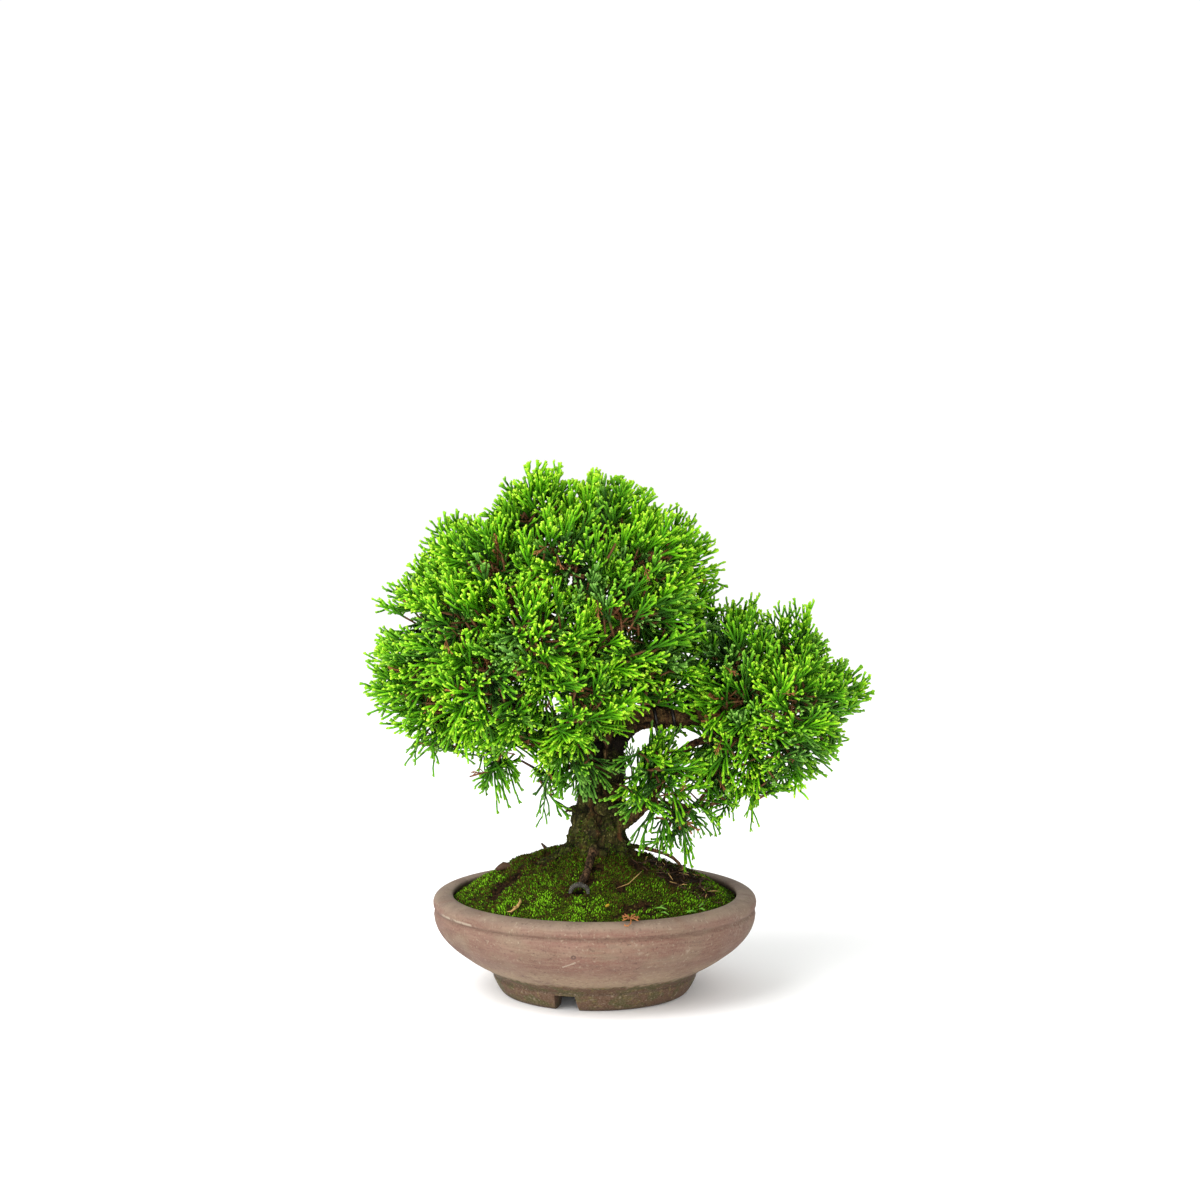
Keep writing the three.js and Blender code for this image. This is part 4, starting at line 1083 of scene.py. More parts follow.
def shape_bark(mesh):
    """Cracked plates along the wood, the hollow, and the shares that the finish reads, among them
    the painted shade of the cracks and the hollow.
    """
    points = points_of(mesh)
    normals = normals_of(mesh)
    radius, heading = nearest_limb(points, limb_lines())
    along = np.sum(points * heading, axis=1)
    squeezed = points - heading * (along * (1 - PLATE_STRETCH))[:, None]
    crack, lumps, drift, clump, bright = (np.zeros(len(points)) for _ in range(5))
    for k, place in enumerate(squeezed):
        width = PLATE_WIDTH * min(1.0, 0.3 + radius[k] / 18)
        here = Vector(points[k])
        spot = Vector(place) / width + 0.55 * noise.noise_vector(here / 6.0)
        gaps, _ = noise.voronoi(spot)
        depth = smooth_share(noise.noise(here / 8.0 + Vector((3, 1, 7))), -0.35, 0.3)
        crack[k] = max(0.0, 1 - (gaps[1] - gaps[0]) / 0.34) * float(depth)
        lumps[k] = noise.fractal(spot * 1.5, 1.0, 2.0, 4) + 0.9 * noise.noise(here / 9.0)
        drift[k] = 0.5 + 0.5 * noise.fractal(here / 8.0, 1.0, 2.0, 3)
        _, clump[k], bright[k] = moss_at(*here)
    across = (points[:, 0] - PLATE_MIDDLE[0]) / PLATE_HALF_WIDTH
    above = (points[:, 2] - PLATE_MIDDLE[1]) / PLATE_HALF_HEIGHT
    oval = np.hypot(across, above) + 0.5 * (drift - 0.5)
    facing = smooth_share(points[:, 1], -5.0, -8.0)
    crack = np.maximum(crack * (1 - facing * (oval < 1)), facing * ridge(oval, 1, 0.1))
    torn = facing * ridge(oval, 1.25, 0.16) * smooth_share(above, -0.5, 0.3)
    thick = np.clip(radius / 12, 0.06, 1.1)
    shift = -CRACK_DEPTH * thick * crack + 1.25 * thick * lumps
    points += normals * shift[:, None]
    away = points - np.array(HOLLOW_MIDDLE)
    spread = np.hypot(away[:, 0] / HOLLOW_HALF_WIDTH, away[:, 2] / HOLLOW_HALF_HEIGHT)
    spread += 0.9 * (drift - 0.5)
    in_front = smooth_share(points[:, 1], -2.0, -7.0)
    hollow = smooth_share(spread, 1.0, 0.55) * in_front
    lip = ridge(spread, 1.08, 0.2) * in_front
    points[:, 1] += HOLLOW_DEPTH * hollow - 0.7 * lip
    from_stump = np.linalg.norm(points - np.array(STUMP_MIDDLE), axis=1)
    stump = smooth_share(from_stump, STUMP_REACH, STUMP_REACH - 2.5)
    moss = np.zeros(len(points))
    for strength, ends_at, full_at, patchy, solid in BARK_MOSS:
        height_share = strength * smooth_share(points[:, 2], ends_at, full_at)
        moss = np.maximum(moss, height_share * smooth_share(drift, patchy, solid))
    root_line = np.abs(points[:, 0] + 5.0 - (points[:, 1] + 38.5) * 0.25)
    bare_root = smooth_share(root_line, BARE_ROOT_HALF_WIDTH, BARE_ROOT_HALF_WIDTH - 2.5)
    bare_root *= smooth_share(points[:, 1], -17.0, -22.0)
    moss *= 1 - bare_root
    move_points(mesh, points)
    # Painted shade: the hollow is near black. The cut stump is dark as well.
    set_share(mesh, "charred", np.maximum(hollow, stump))
    set_share(mesh, "lip", lip)
    set_share(mesh, "torn", torn)
    set_share(mesh, "clump", clump)
    set_share(mesh, "bright", bright * 0.8)
    slim = smooth_share(radius, 6.0, 2.2) * (points[:, 2] > 86)
    slim[(points[:, 0] < -8) & (points[:, 2] < 106)] = 0.0
    heavy = smooth_share(points[:, 0], 18.0, 24.0) * smooth_share(points[:, 2], 140.0, 143.0)
    slim = np.maximum(slim, 0.6 * heavy)
    arching = (points[:, 0] > 24) & (points[:, 1] > 2) & (points[:, 1] < 11) & (points[:, 2] < 82)
    slim[arching] = 1.0
    moss[arching] = 0.0
    crack[arching] *= 0.4
    set_share(mesh, "slim", slim)
    set_share(mesh, "crack", crack)
    set_share(mesh, "moss", moss)
    set_share(mesh, "bare", bare_root)


def bark_material():
    material, tree, surface = start_material("juniper_bark", 0.9, 0.12)
    fibre = mottle(tree, 2.0, 0.35, 0.65, stretch=(1.6, 1.6, 0.35))
    colour = colour_mix(tree, fibre, (25, 21, 8), (76, 68, 32))
    olive = mottle(tree, 6, 0.42, 0.6, shift=(0.7, 0, 0.4))
    colour = tint(tree, colour, olive, 0.7, (50, 54, 14))
    red = mottle(tree, 9, 0.56, 0.68, stretch=(1, 1, 0.6), shift=(0.3, 0, 0.1))
    colour = tint(tree, colour, red, 0.7, (92, 54, 32))
    grey = mottle(tree, 3, 0.6, 0.72, shift=(0, 0.3, 0))
    colour = tint(tree, colour, grey, 0.4, (98, 90, 58))
    soot = mottle(tree, 8, 0.5, 0.66, stretch=(1.3, 1.3, 0.6), shift=(0.1, 0.8, 0.2))
    colour = tint(tree, colour, soot, 0.75, (14, 11, 5))
    twig = colour_mix(tree, fibre, (66, 42, 26), (112, 78, 50))
    colour = colour_mix(tree, share_on(tree, "slim"), colour, twig)
    colour = tint(tree, colour, share_on(tree, "torn"), 0.45, (96, 54, 32))
    green = mottle(tree, 1.6, 0.42, 0.6, shift=(0.2, 0.2, 0))
    mossy = colour_mix(tree, green, (10, 11, 2), (54, 64, 8))
    colour = tint(tree, colour, share_on(tree, "moss"), 0.85, mossy)
    pale_specks = mottle(tree, 1.2, 0.58, 0.68, shift=(0.6, 0.1, 0.3))
    colour = tint(tree, colour, pale_specks, 0.42, (132, 124, 74))
    dark_specks = mottle(tree, 1.5, 0.54, 0.66, shift=(0.1, 0.5, 0.7))
    colour = tint(tree, colour, dark_specks, 0.7, (8, 7, 2))
    brown_root = colour_mix(tree, fibre, (22, 13, 6), (92, 68, 46))
    colour = colour_mix(tree, share_on(tree, "bare"), colour, brown_root)
    colour = tint(tree, colour, share_on(tree, "lip"), 0.6, (128, 96, 64))
    # Painted shade in the hollow. The stump's cut face is dark too.
    colour = tint(tree, colour, share_on(tree, "charred"), 0.95, (14, 11, 8))
    # Painted shade: the bark's cracks are near black.
    colour = tint(tree, colour, share_on(tree, "crack"), 0.95, (7, 5, 2))
    tree.links.new(colour, surface.inputs["Base Color"])
    grain = mottle(tree, 0.9, 0.3, 0.7, stretch=(1.5, 1.5, 0.4))
    relief = calc(tree, "ADD", times(tree, fibre, 0.8), times(tree, grain, 0.5))
    roughen(tree, surface, relief, 0.9, 0.7)
    return material


# The ribbed ring of callus at the end of the front root.
CALLUS_MIDDLE = (-8.0, -52.0, 64.0)
CALLUS_REACH = 4.7
CALLUS_HEIGHT = 4.4
CALLUS_RADIUS = 1.35
CALLUS_ARC = (-4, 186)
CALLUS_RIBS = 21
CALLUS_STEPS = 96


def make_callus():
    ring = Growth()
    spine, radii, ages = [], [], []
    for k in range(CALLUS_STEPS + 1):
        share = k / CALLUS_STEPS
        angle = math.radians(mix(*CALLUS_ARC, share))
        wander = noise.noise(Vector((share * 7, 2.0, 4.0)))
        across = (CALLUS_REACH + 0.4 * wander) * math.cos(angle)
        up = (CALLUS_HEIGHT + 0.4 * wander) * math.sin(angle)
        spine.append(Vector(CALLUS_MIDDLE) + Vector((across, -0.12 * across, up)))
        rib = math.sin(share * CALLUS_RIBS * TAU + 2 * wander)
        swell = math.sin(math.pi * mix(0.2, 0.8, share))
        radii.append(CALLUS_RADIUS * (1 + 0.1 * rib + 0.22 * wander) * swell)
        # The rib's phase, which the finish paints as highlight and shade.
        ages.append(0.5 + 0.5 * rib)
    ring.tube(spine, radii[:-1], ages, 14)
    mesh = ring.mesh("callus")
    mesh.shade_smooth()
    put_on_body("root_callus", mesh, (), callus_material())


def callus_material():
    material, tree, surface = start_material("grey_callus", 0.7, 0.25)
    ribs = share_on(tree, "age")
    # Painted highlight and shade: each rib is lighter on its crest and darker between the crests.
    colour = colour_mix(tree, ribs, (20, 18, 15), (86, 82, 74))
    patches = mottle(tree, 2.2, 0.45, 0.62)
    colour = tint(tree, colour, patches, 0.7, (26, 23, 19))
    tree.links.new(colour, surface.inputs["Base Color"])
    roughen(tree, surface, ribs, 0.5, 0.2)
    return material


# Foliage: tufts in tiers, as the solids have them.
DOME_HEART = 190
LOBE_HEART = 150
TIERS = [
    ("top", 3, (-8, 2, 258), 28, 19, 65, 31),
    ("upper", 7, (-14, 2, 234), 54, 46, 13, 32),
    ("middle", 8, (-27, 0, 204), 65, 58, 0, 33),
    ("lower", 8, (-32, 0, 172), 66, 56, 22, 33),
    ("skirt", 4, (-44, 0, 147), 42, 34, 190, 28),
    ("lobe_top", 3, (86, 0, 187), 24, 20, 0, 27),
    ("lobe_middle", 5, (99, 0, 163), 26, 33, 0, 29),
    ("lobe_lower", 4, (89, -2, 137), 27, 27, 30, 27),
    ("lobe_skirt", 2, (76, -8, 113), 14, 8, 20, 22),
]
TIER_JITTER = 4
SINGLES = [
    ("hanging_left", (-56, -16, 128), 21, 0.8),
    ("hanging_small", (-26, -20, 120), 14, 0.9),
    ("over_trunk", (-12, -32, 138), 25, 0.4),
    ("front_low", (34, -26, 125), 26, 0.2),
    ("low_fan", (46, -12, 98), 24, 1.0),
]
TUFT_SEED_STEP = 7919
TUFT_SEED_START = 11
PLAN_SEED = 500


class Tuft:
    """A tuft's name, middle, facing and reach, and how far it hangs down from 0 to 1."""

    def __init__(self, name, centre, outward, radius, hang):
        self.name = "foliage_" + name
        self.centre = Vector(centre)
        self.outward = Vector(outward).normalized()
        self.radius = radius
        self.hang = hang


def tuft_list():
    tufts = []
    for name, count, at, wide, deep, turn, radius in TIERS:
        for i in range(count):
            draw = seeded(len(tufts) * TUFT_SEED_STEP + TUFT_SEED_START)
            angle = math.radians(turn) + i * TAU / count
            offset = Vector((wide * math.cos(angle), deep * math.sin(angle), 0))
            rise = mix(-TIER_JITTER, TIER_JITTER, draw())
            centre = Vector(at) + offset + UP * rise
            heart = LOBE_HEART if name.startswith("lobe") else DOME_HEART
            outward = Vector((offset.x, offset.y, (at[2] - heart) * 0.85))
            reach = radius * mix(0.95, 1.05, draw())
            tufts.append(Tuft(f"{name}_{i + 1}", centre, outward, reach, 0.0))
    for name, at, radius, hang in SINGLES:
        outward = Vector((at[0] * 0.6, at[1], -20 * hang))
        tufts.append(Tuft(name, at, outward, radius, hang))
    return tufts


def twig_to(tuft):
    """The twig from the nearest lower point of the branches into a tuft."""
    best = None
    for name in BEARING_BRANCHES:
        for i, (x, y, z, radius) in enumerate(WOOD[name]):
            if z < 92 or (name == "trunk" and i < 7):
                continue
            start = Vector((x, y, z))
            climb = tuft.centre.z - z
            cost = (start - tuft.centre).length + (-0.8 * climb if climb < 0 else 0)
            if best is None or cost < best[0]:
                best = (cost, start, radius)
    _, start, radius = best
    inward = start - tuft.centre
    end = tuft.centre + inward * (0.1 * tuft.radius / inward.length)
    middle = start.lerp(end, 0.5)
    middle.z -= 0.08 * inward.length
    thick = min(1.9, radius * 0.8)
    return [(*start, thick), (*middle, mix(thick, 0.9, 0.5)), (*end, 0.9)]


# Tones run from the oldest green at 0 to the freshest, and above that the sprays are dead. Inner
# sprays in the crown's shade have a tone of their own below all others.
SHADE_TONE = 0.02
SHADED_BELOW = 0.16
OLDEST_TONE = 0.14
FRESHEST_TONE = 0.9
DEAD_ABOVE = 0.94
DEAD_TONE = 0.97
TWIG_BROWN = (104, 68, 44)
SHADED_TWIG = (72, 46, 30)
# The pairs of scale leaves along a spray show as this many faint bands.
SCALE_BANDS = 14

# Shapes of spray: length of the green stem and of the bare twig behind it, the number of side
# shoots, how far they lean, how flat the spray is, its thickness, how far it sags and how many
# small shoots each side shoot forks into.
BUSHY = dict(length=20, bare=9, shoots=8, lean=37, flat=0.4, thick=0.76, sag=0.0, forks=1)
FAN = dict(length=23, bare=10, shoots=9, lean=33, flat=0.9, thick=0.74, sag=0.06, forks=1)
DROOPING = dict(length=27, bare=11, shoots=6, lean=29, flat=0.8, thick=0.68, sag=0.1, forks=1)
INNER = dict(length=16, bare=6, shoots=6, lean=42, flat=0.3, thick=0.74, sag=0.05, forks=1)
SHAPE_COUNTS = [(BUSHY, 6), (FAN, 4), (DROOPING, 4), (INNER, 3)]
FORK_PLACES = (0.7, 0.5)
FORK_LEAN = math.radians(26)
SHORTEST_FORK = 2.6
GOLDEN_ANGLE = math.radians(137.5)
SPRAY_SEED = 100


def turned_towards(heading, aim, angle):
    """A heading turned by an angle towards another direction."""
    side = (aim - aim.dot(heading) * heading).normalized()
    return (math.cos(angle) * heading + math.sin(angle) * side).normalized()


def spray_mesh(name, plan, random):
    """One spray of scale shoots that grows along +Z, with +X its upper side."""
    growth = Growth()
    length, thick = plan["length"], plan["thick"]
    bend = random.uniform(-0.12, 0.12, 2)

    def stem(t):
        sag = plan["sag"] * length * t * t
        return Vector((bend[0] * length * t * t - sag, bend[1] * length * t * t, length * t))

    spine = [Vector((0, 0, -plan["bare"])), stem(0.0), stem(0.5), stem(0.94), stem(1.0)]
    growth.tube(spine, [0.8 * thick, thick, thick, 0.85 * thick], [0.0, 0.17, 0.45, 0.9, 1.0], 4)
    for k in range(plan["shoots"]):
        t = 0.05 + 0.85 * (k + random.uniform(-0.2, 0.2)) / (plan["shoots"] - 1)
        t = min(max(t, 0.03), 0.93)
        across = math.pi / 2 + math.pi * (k % 2) + random.normal(0, 0.35)
        azimuth = across if plan["flat"] > random.uniform() else k * GOLDEN_ANGLE
        out = Vector((math.cos(azimuth), math.sin(azimuth), 0))
        lean = math.radians(plan["lean"] * random.uniform(0.8, 1.2) * (1 - 0.3 * t))
        reach = length * (0.66 - 0.32 * t) * random.uniform(0.75, 1.2)
        ahead = (stem(min(t + 0.1, 1.0)) - stem(t - 0.1)).normalized()
        first = turned_towards(ahead, out, lean)
        second = turned_towards(first, ahead, math.radians(random.uniform(4, 18)))
        root = stem(t)
        middle = root + first * reach * 0.5
        tip = middle + second * reach * 0.5
        old = 0.2 + 0.25 * t
        new = random.uniform(0.93, 1.0)
        spine = [root, middle, middle.lerp(tip, 0.9), tip]
        ages = [old, mix(old, new, 0.45), mix(old, new, 0.88), new]
        growth.tube(spine, [0.85 * thick, thick, 0.95 * thick], ages, 3, turn=k)
        side = 1 if random.uniform() < 0.5 else -1
        for place in FORK_PLACES[: plan["forks"]]:
            s = place + random.uniform(-0.07, 0.07)
            start = root.lerp(middle, s * 2) if s < 0.5 else middle.lerp(tip, s * 2 - 1)
            beside = first.cross(out).normalized() * side + 0.4 * random.normal() * out
            side = -side
            way = turned_towards(second, beside, FORK_LEAN * random.uniform(0.75, 1.25))
            run = max(SHORTEST_FORK, reach * (0.56 - 0.4 * s)) * random.uniform(0.85, 1.2)
            ages = [mix(old, new, s), mix(old, new, 0.92), random.uniform(0.94, 1.0)]
            spine = [start, start + way * run * 0.84, start + way * run]
            growth.tube(spine, [0.8 * thick, 0.92 * thick], ages, 3, turn=s)
    return growth.mesh(name, offset=Vector())


def spray_shapes():
    """The collection of spray shapes, and the lengths and numbers of the shapes in it."""
    shapes = bpy.data.collections.new("spray_shapes")
    lengths = []
    groups = []
    for plan, count in SHAPE_COUNTS:
        groups.append(list(range(len(lengths), len(lengths) + count)))
        for _ in range(count):
            random = np.random.default_rng(SPRAY_SEED + len(lengths))
            name = f"spray_{len(lengths):02d}"
            shapes.objects.link(bpy.data.objects.new(name, spray_mesh(name, plan, random)))
            lengths.append(plan["length"])
    return shapes, lengths, groups


def tuft_tree():
    """A spray of the wanted shape, size and turn on each point, with a tone of its own."""
    inputs = {
        "Twig ends": (GEOMETRY, None),
        "Shapes": ("NodeSocketCollection", None),
        "Spray size": (NUMBER, 1.0),
        "Tone shift": (NUMBER, 0.0),
        "Tone jitter": (NUMBER, 0.08),
        "Seed": (COUNT, 1),
        "Finish": (MATERIAL, None),
    }
    tree, start, end = new_tree("GeometryNodeTree", "tuft_of_sprays", inputs, {"Tuft": GEOMETRY})
    given = start.outputs
    links = {0: given["Shapes"], 1: True, 2: True}
    shapes = add(tree, "GeometryNodeCollectionInfo", links, transform_space="ORIGINAL")
    turn = stored(tree, "turn", "FLOAT_VECTOR")
    turn = add(tree, "FunctionNodeEulerToRotation", {0: turn}).outputs[0]
    links = {
        "Points": given["Twig ends"],
        "Instance": shapes.outputs[0],
        "Pick Instance": True,
        "Instance Index": stored(tree, "shape", "INT"),
        "Rotation": turn,
        "Scale": times(tree, stored(tree, "size"), given["Spray size"]),
    }
    sprays = add(tree, "GeometryNodeInstanceOnPoints", links).outputs[0]
    tone = stored(tree, "tone")
    jitter = chance(tree, times(tree, given["Tone jitter"], -1.0), given["Tone jitter"], given["Seed"])
    moved = calc(tree, "ADD", calc(tree, "ADD", tone, jitter), given["Tone shift"])
    live = calc(tree, "MINIMUM", calc(tree, "MAXIMUM", moved, 0.01), FRESHEST_TONE)
    dead = calc(tree, "GREATER_THAN", tone, DEAD_ABOVE)
    tone = calc(tree, "MAXIMUM", live, times(tree, dead, DEAD_TONE))
    close_tree(tree, end, with_tone(tree, sprays, tone), given["Finish"])
    return tree


def with_twig(shades):
    """The steps of colour along a spray: twig brown up to its green part, then the shades."""
    return [(0.0, TWIG_BROWN), (0.12, TWIG_BROWN), *shades]


def foliage_material():
    material, tree, surface = start_material("juniper_scales", 0.6, 0.1)
    tone, age = tone_and_age(tree)
    shaded = [(0.0, SHADED_TWIG), (0.12, SHADED_TWIG), (0.2, (18, 36, 10)), (0.6, (30, 60, 16))]
    shaded = colour_steps(tree, age, [*shaded, (0.86, (50, 90, 28)), (1.0, (88, 128, 50))])
    old = [(0.2, (38, 66, 24)), (0.6, (60, 104, 34)), (0.86, (94, 142, 54)), (1.0, (148, 190, 98))]
    old = colour_steps(tree, age, with_twig(old))
    middle = [(0.2, (28, 64, 6)), (0.6, (58, 117, 8)), (0.82, (90, 155, 14)), (0.94, (138, 190, 36))]
    middle = colour_steps(tree, age, with_twig([*middle, (1.0, (184, 216, 82))]))
    fresh = [(0.2, (38, 88, 4)), (0.55, (74, 143, 6)), (0.78, (114, 182, 16)), (0.92, (166, 211, 44))]
    fresh = colour_steps(tree, age, with_twig([*fresh, (1.0, (212, 234, 100))]))
    dead = [(0.0, (84, 52, 32)), (0.5, (112, 71, 40)), (1.0, (154, 102, 60))]
    dead = colour_steps(tree, age, dead)
    old = colour_mix(tree, soft_step(tree, tone, 0.1, 0.06), old, shaded)
    colour = colour_mix(tree, soft_step(tree, tone, 0.08, 0.46), old, middle)
    colour = colour_mix(tree, soft_step(tree, tone, 0.46, 0.88), colour, fresh)
    colour = colour_mix(tree, calc(tree, "GREATER_THAN", tone, DEAD_ABOVE), colour, dead)
    wave = calc(tree, "SINE", times(tree, age, SCALE_BANDS * TAU))
    edges = soft_step(tree, wave, 0.2, 1.0, 0.0, 0.28)
    colour = colour_mix(tree, edges, colour, (20, 52, 12))
    tree.links.new(colour, surface.inputs["Base Color"])
    return material


SPRAYS_PER_FULL_TUFT = 76
INNER_PER_FULL_TUFT = 18
FULL_TUFT_RADIUS = 33.0
DEAD_INNER_SHARE = 0.07
# The outer sprays stand in clumps: between them they are shorter, fewer and of a darker green, and
# on the clumps lighter: partly older and fresher growth, partly painted shade and light.
CROWN_CLUMP_SIZE = 9.0
CROWN_HOLLOW_DEPTH = 0.5
HOLLOW_THINNING = 0.6
HOLLOW_SHADE_TONE = 0.35
# A spray's side shoots reach this far past its middle one.
EDGE_SLACK = 2.6
CROWN_HALF_DEPTH = 87.0
# Sprays whose tips would hang this low stand further apart.
SPARSE_BELOW = 112.0
SPARSE_SHARE = 0.62
LOW_EDGE_THINNING = 0.74
ROOM_MARGIN = 1.2
NARROWEST_ROOM = 0.62
CLEAR_OF_RIM = 92.0
LOWEST_BESIDE_POT = 2.0
LOWEST_OVER_RIM = 57.0
LOWEST_OVER_SOIL = 55.0
ROOM_OVER_SOIL = 2.5

# The front view's plane stands on the pot's axis. It is seen from where the photograph was taken.
VIEWER = Vector((2.86, -1355.8, 333.6))

# The crown's edge in that plane, x and z in millimetres. The third number is 1 where a shoot
# reaches out to the edge and 2 where one hangs down to it.
CROWN_EDGE = [
    (-9, 102, 0), (-16, 95, 1), (-21, 93, 0), (-27, 93, 2), (-32, 107, 0), (-39, 117, 2),
    (-41, 126, 1), (-37, 131, 0), (-40, 110, 2), (-46, 110, 0), (-54, 103, 2), (-63, 111, 1),
    (-66, 118, 0), (-68, 131, 0), (-74, 134, 0), (-86, 136, 0), (-93, 124, 2), (-100, 131, 1),
    (-104, 136, 0), (-113, 144, 0), (-117, 154, 0), (-122, 162, 1), (-124, 167, 1),
    (-123, 176, 1), (-121, 184, 0), (-118, 193, 1), (-114, 200, 0), (-116, 208, 0),
    (-120, 215, 1), (-115, 220, 0), (-109, 223, 1), (-104, 225, 0), (-100, 231, 0), (-96, 236, 0),
    (-93, 244, 1), (-88, 252, 0), (-83, 256, 0), (-75, 262, 1), (-67, 259, 0), (-62, 254, 0),
    (-60, 260, 1), (-54, 259, 0), (-51, 263, 0), (-56, 266, 1), (-50, 272, 0), (-44, 273, 0),
    (-48, 279, 1), (-40, 278, 0), (-34, 289, 1), (-25, 287, 1), (-19, 287, 1), (-14, 279, 0),
    (-5, 278, 0), (1, 285, 1), (13, 281, 1), (22, 276, 0), (30, 274, 1), (36, 269, 0),
    (45, 265, 1), (51, 260, 1), (57, 253, 0), (63, 250, 1), (65, 244, 1), (62, 238, 0),
    (69, 232, 1), (65, 226, 0), (69, 223, 1), (64, 217, 0), (74, 214, 0), (82, 216, 0),
    (88, 218, 1), (98, 212, 1), (95, 205, 0), (103, 204, 0), (109, 214, 1), (117, 214, 1),
    (112, 203, 0), (122, 197, 1), (127, 188, 0), (128, 182, 0), (136, 181, 1), (143, 179, 1),
    (151, 170, 1), (147, 167, 0), (150, 164, 1), (145, 160, 0), (145, 154, 1), (137, 150, 0),
    (134, 144, 0), (136, 138, 1), (133, 131, 1), (125, 126, 0), (118, 114, 1), (112, 115, 0),
    (109, 112, 1), (101, 114, 0), (97, 110, 1), (89, 102, 1), (80, 102, 0), (84, 91, 2),
    (76, 100, 0), (72, 89, 2), (63, 88, 0), (57, 90, 1), (53, 85, 0), (52, 70, 2), (45, 77, 0),
    (38, 79, 1), (31, 77, 2), (26, 77, 1), (20, 84, 2), (22, 94, 0), (15, 98, 1), (6, 98, 0),
    (-3, 105, 0),
]
# Places in that plane that no spray covers: x, z, half width, half height and the depth from
# which sprays may grow behind it.
OPEN = 1000
OPENINGS = [
    (21, 140, 4, 5, OPEN), (48, 139, 4, 4, OPEN), (19, 92, 3, 8, OPEN), (-105, 203, 6, 4, OPEN),
    (-25, 156, 2, 1, OPEN), (-44, 129, 3, 3, OPEN), (8, 134, 8, 6, -4), (38, 150, 12, 4, -2),
    (52, 187, 8, 5, -16), (28, 196, 8, 4, -16), (5, 90, 12, 12, 0), (66, 208, 8, 3, 0),
]
# Lighter and darker parts of the crown in that plane, partly fresher and older growth and partly
# painted light and shade: x, z, reach and the change of tone.
TONE_PLACES = [
    (-22, 204, 20, 0.45), (5, 204, 11, 0.4), (-64, 220, 15, 0.4), (30, 259, 20, 0.3),
    (33, 173, 11, 0.45), (-28, 129, 12, 0.45), (85, 127, 17, 0.35), (8, 157, 11, 0.3),
    (-69, 143, 13, 0.25), (-33, 284, 10, 0.25), (102, 179, 10, 0.3), (47, 116, 13, 0.2),
    (-91, 160, 15, 0.15), (-108, 220, 10, 0.2), (-55, 110, 8, 0.3), (52, 229, 10, 0.15),
    (-53, 193, 15, -0.35), (2, 231, 16, -0.35), (58, 193, 20, -0.35), (129, 160, 13, -0.08),
    (-86, 193, 13, -0.3), (-42, 160, 11, -0.2), (25, 193, 12, -0.4), (2, 114, 11, -0.6),
    (-20, 105, 10, -0.5), (-64, 124, 10, -0.3), (30, 86, 14, -0.4), (80, 165, 13, -0.2),
    (113, 127, 12, -0.2), (-20, 240, 12, -0.2),
]
# Sprays at known places in that plane: the root's x and z, the tip's x and z, their depth and
# tone.
PLACED_SPRAYS = {
    "over_trunk": [
        (-6, 129, -10, 108, -26, 0.2), (-5, 129, -1, 108, -25, 0.16), (-4, 128, 7, 113, -24, 0.22),
        (-6, 128, -14, 111, -27, 0.2), (0, 128, 12, 120, -23, 0.12), (-12, 131, -20, 113, -28, 0.3),
        (-14, 138, -24, 124, -30, 0.5), (-9, 140, -17, 130, -32, 0.75), (-6, 150, -3, 134, -26, 0.3),
        (-2, 152, 3, 138, -24, 0.25), (8, 158, 5, 143, -22, 0.7), (14, 160, 13, 144, -20, 0.8),
        (-10, 146, -9, 126, -34, 0.6),
    ],
    "front_low": [
        (28, 124, 15, 108, -26, 0.85), (31, 122, 21, 106, -27, 0.75), (32, 121, 28, 104, -28, 0.6),
        (27, 113, 8, 106, -22, 0.35), (29, 112, 12, 100, -21, 0.3), (30, 111, 17, 96, -22, 0.35),
        (24, 110, 34, 135, -24, 0.7), (26, 110, 40, 131, -25, 0.75), (28, 112, 46, 126, -26, 0.6),
        (22, 112, 28, 133, -20, 0.35), (24, 118, 33, 141, -14, 0.2), (29, 119, 39, 140, -12, 0.25),
        (34, 121, 43, 143, -10, 0.3), (38, 122, 47, 130, -16, 0.5), (20, 122, 19, 134, -18, 0.2),
    ],
    "low_fan": [
        (34, 105, 25, 81, -14, 0.4), (38, 104, 35, 80, -16, 0.35),
        (46, 100, 51, 74, -14, 0.45), (50, 103, 58, 88, -16, 0.5),
    ],
}
# Where dead sprays show in that plane.
DEAD_PLACES = [
    (-67, 120), (66, 131), (72, 111), (109, 164), (-24, 118), (48, 111), (30, 227), (60, 226),
    (-18, 233), (-32, 241), (-79, 187), (77, 175), (-42, 175), (3, 206),
]


def as_seen(point):
    """Where a point shows in the front view's plane."""
    share = -VIEWER.y / (point.y - VIEWER.y)
    x = VIEWER.x + (point.x - VIEWER.x) * share
    return x, VIEWER.z + (point.z - VIEWER.z) * share


def seen_at(x, z, y):
    """The point at depth y that shows at x and z in the front view's plane."""
    share = (y - VIEWER.y) / -VIEWER.y
    return Vector((VIEWER.x + (x - VIEWER.x) * share, y, VIEWER.z + (z - VIEWER.z) * share))


def inside_edge(point):
    x, z = as_seen(point)
    inside = False
    for (x1, z1, _), (x2, z2, _) in zip(CROWN_EDGE, CROWN_EDGE[1:] + CROWN_EDGE[:1]):
        if (z1 > z) != (z2 > z) and x < x1 + (z - z1) * (x2 - x1) / (z2 - z1):
            inside = not inside
    return inside


def drawn_in(tip, centre):
    """The tip, or the last place inside the crown's edge on the way to it."""
    if inside_edge(tip) or not inside_edge(centre):
        return tip
    low, high = 0.0, 1.0
    for _ in range(6):
        share = (low + high) / 2
        if inside_edge(centre.lerp(tip, share)):
            low = share
        else:
            high = share
    return centre.lerp(tip, low) - EDGE_SLACK * (tip - centre).normalized()


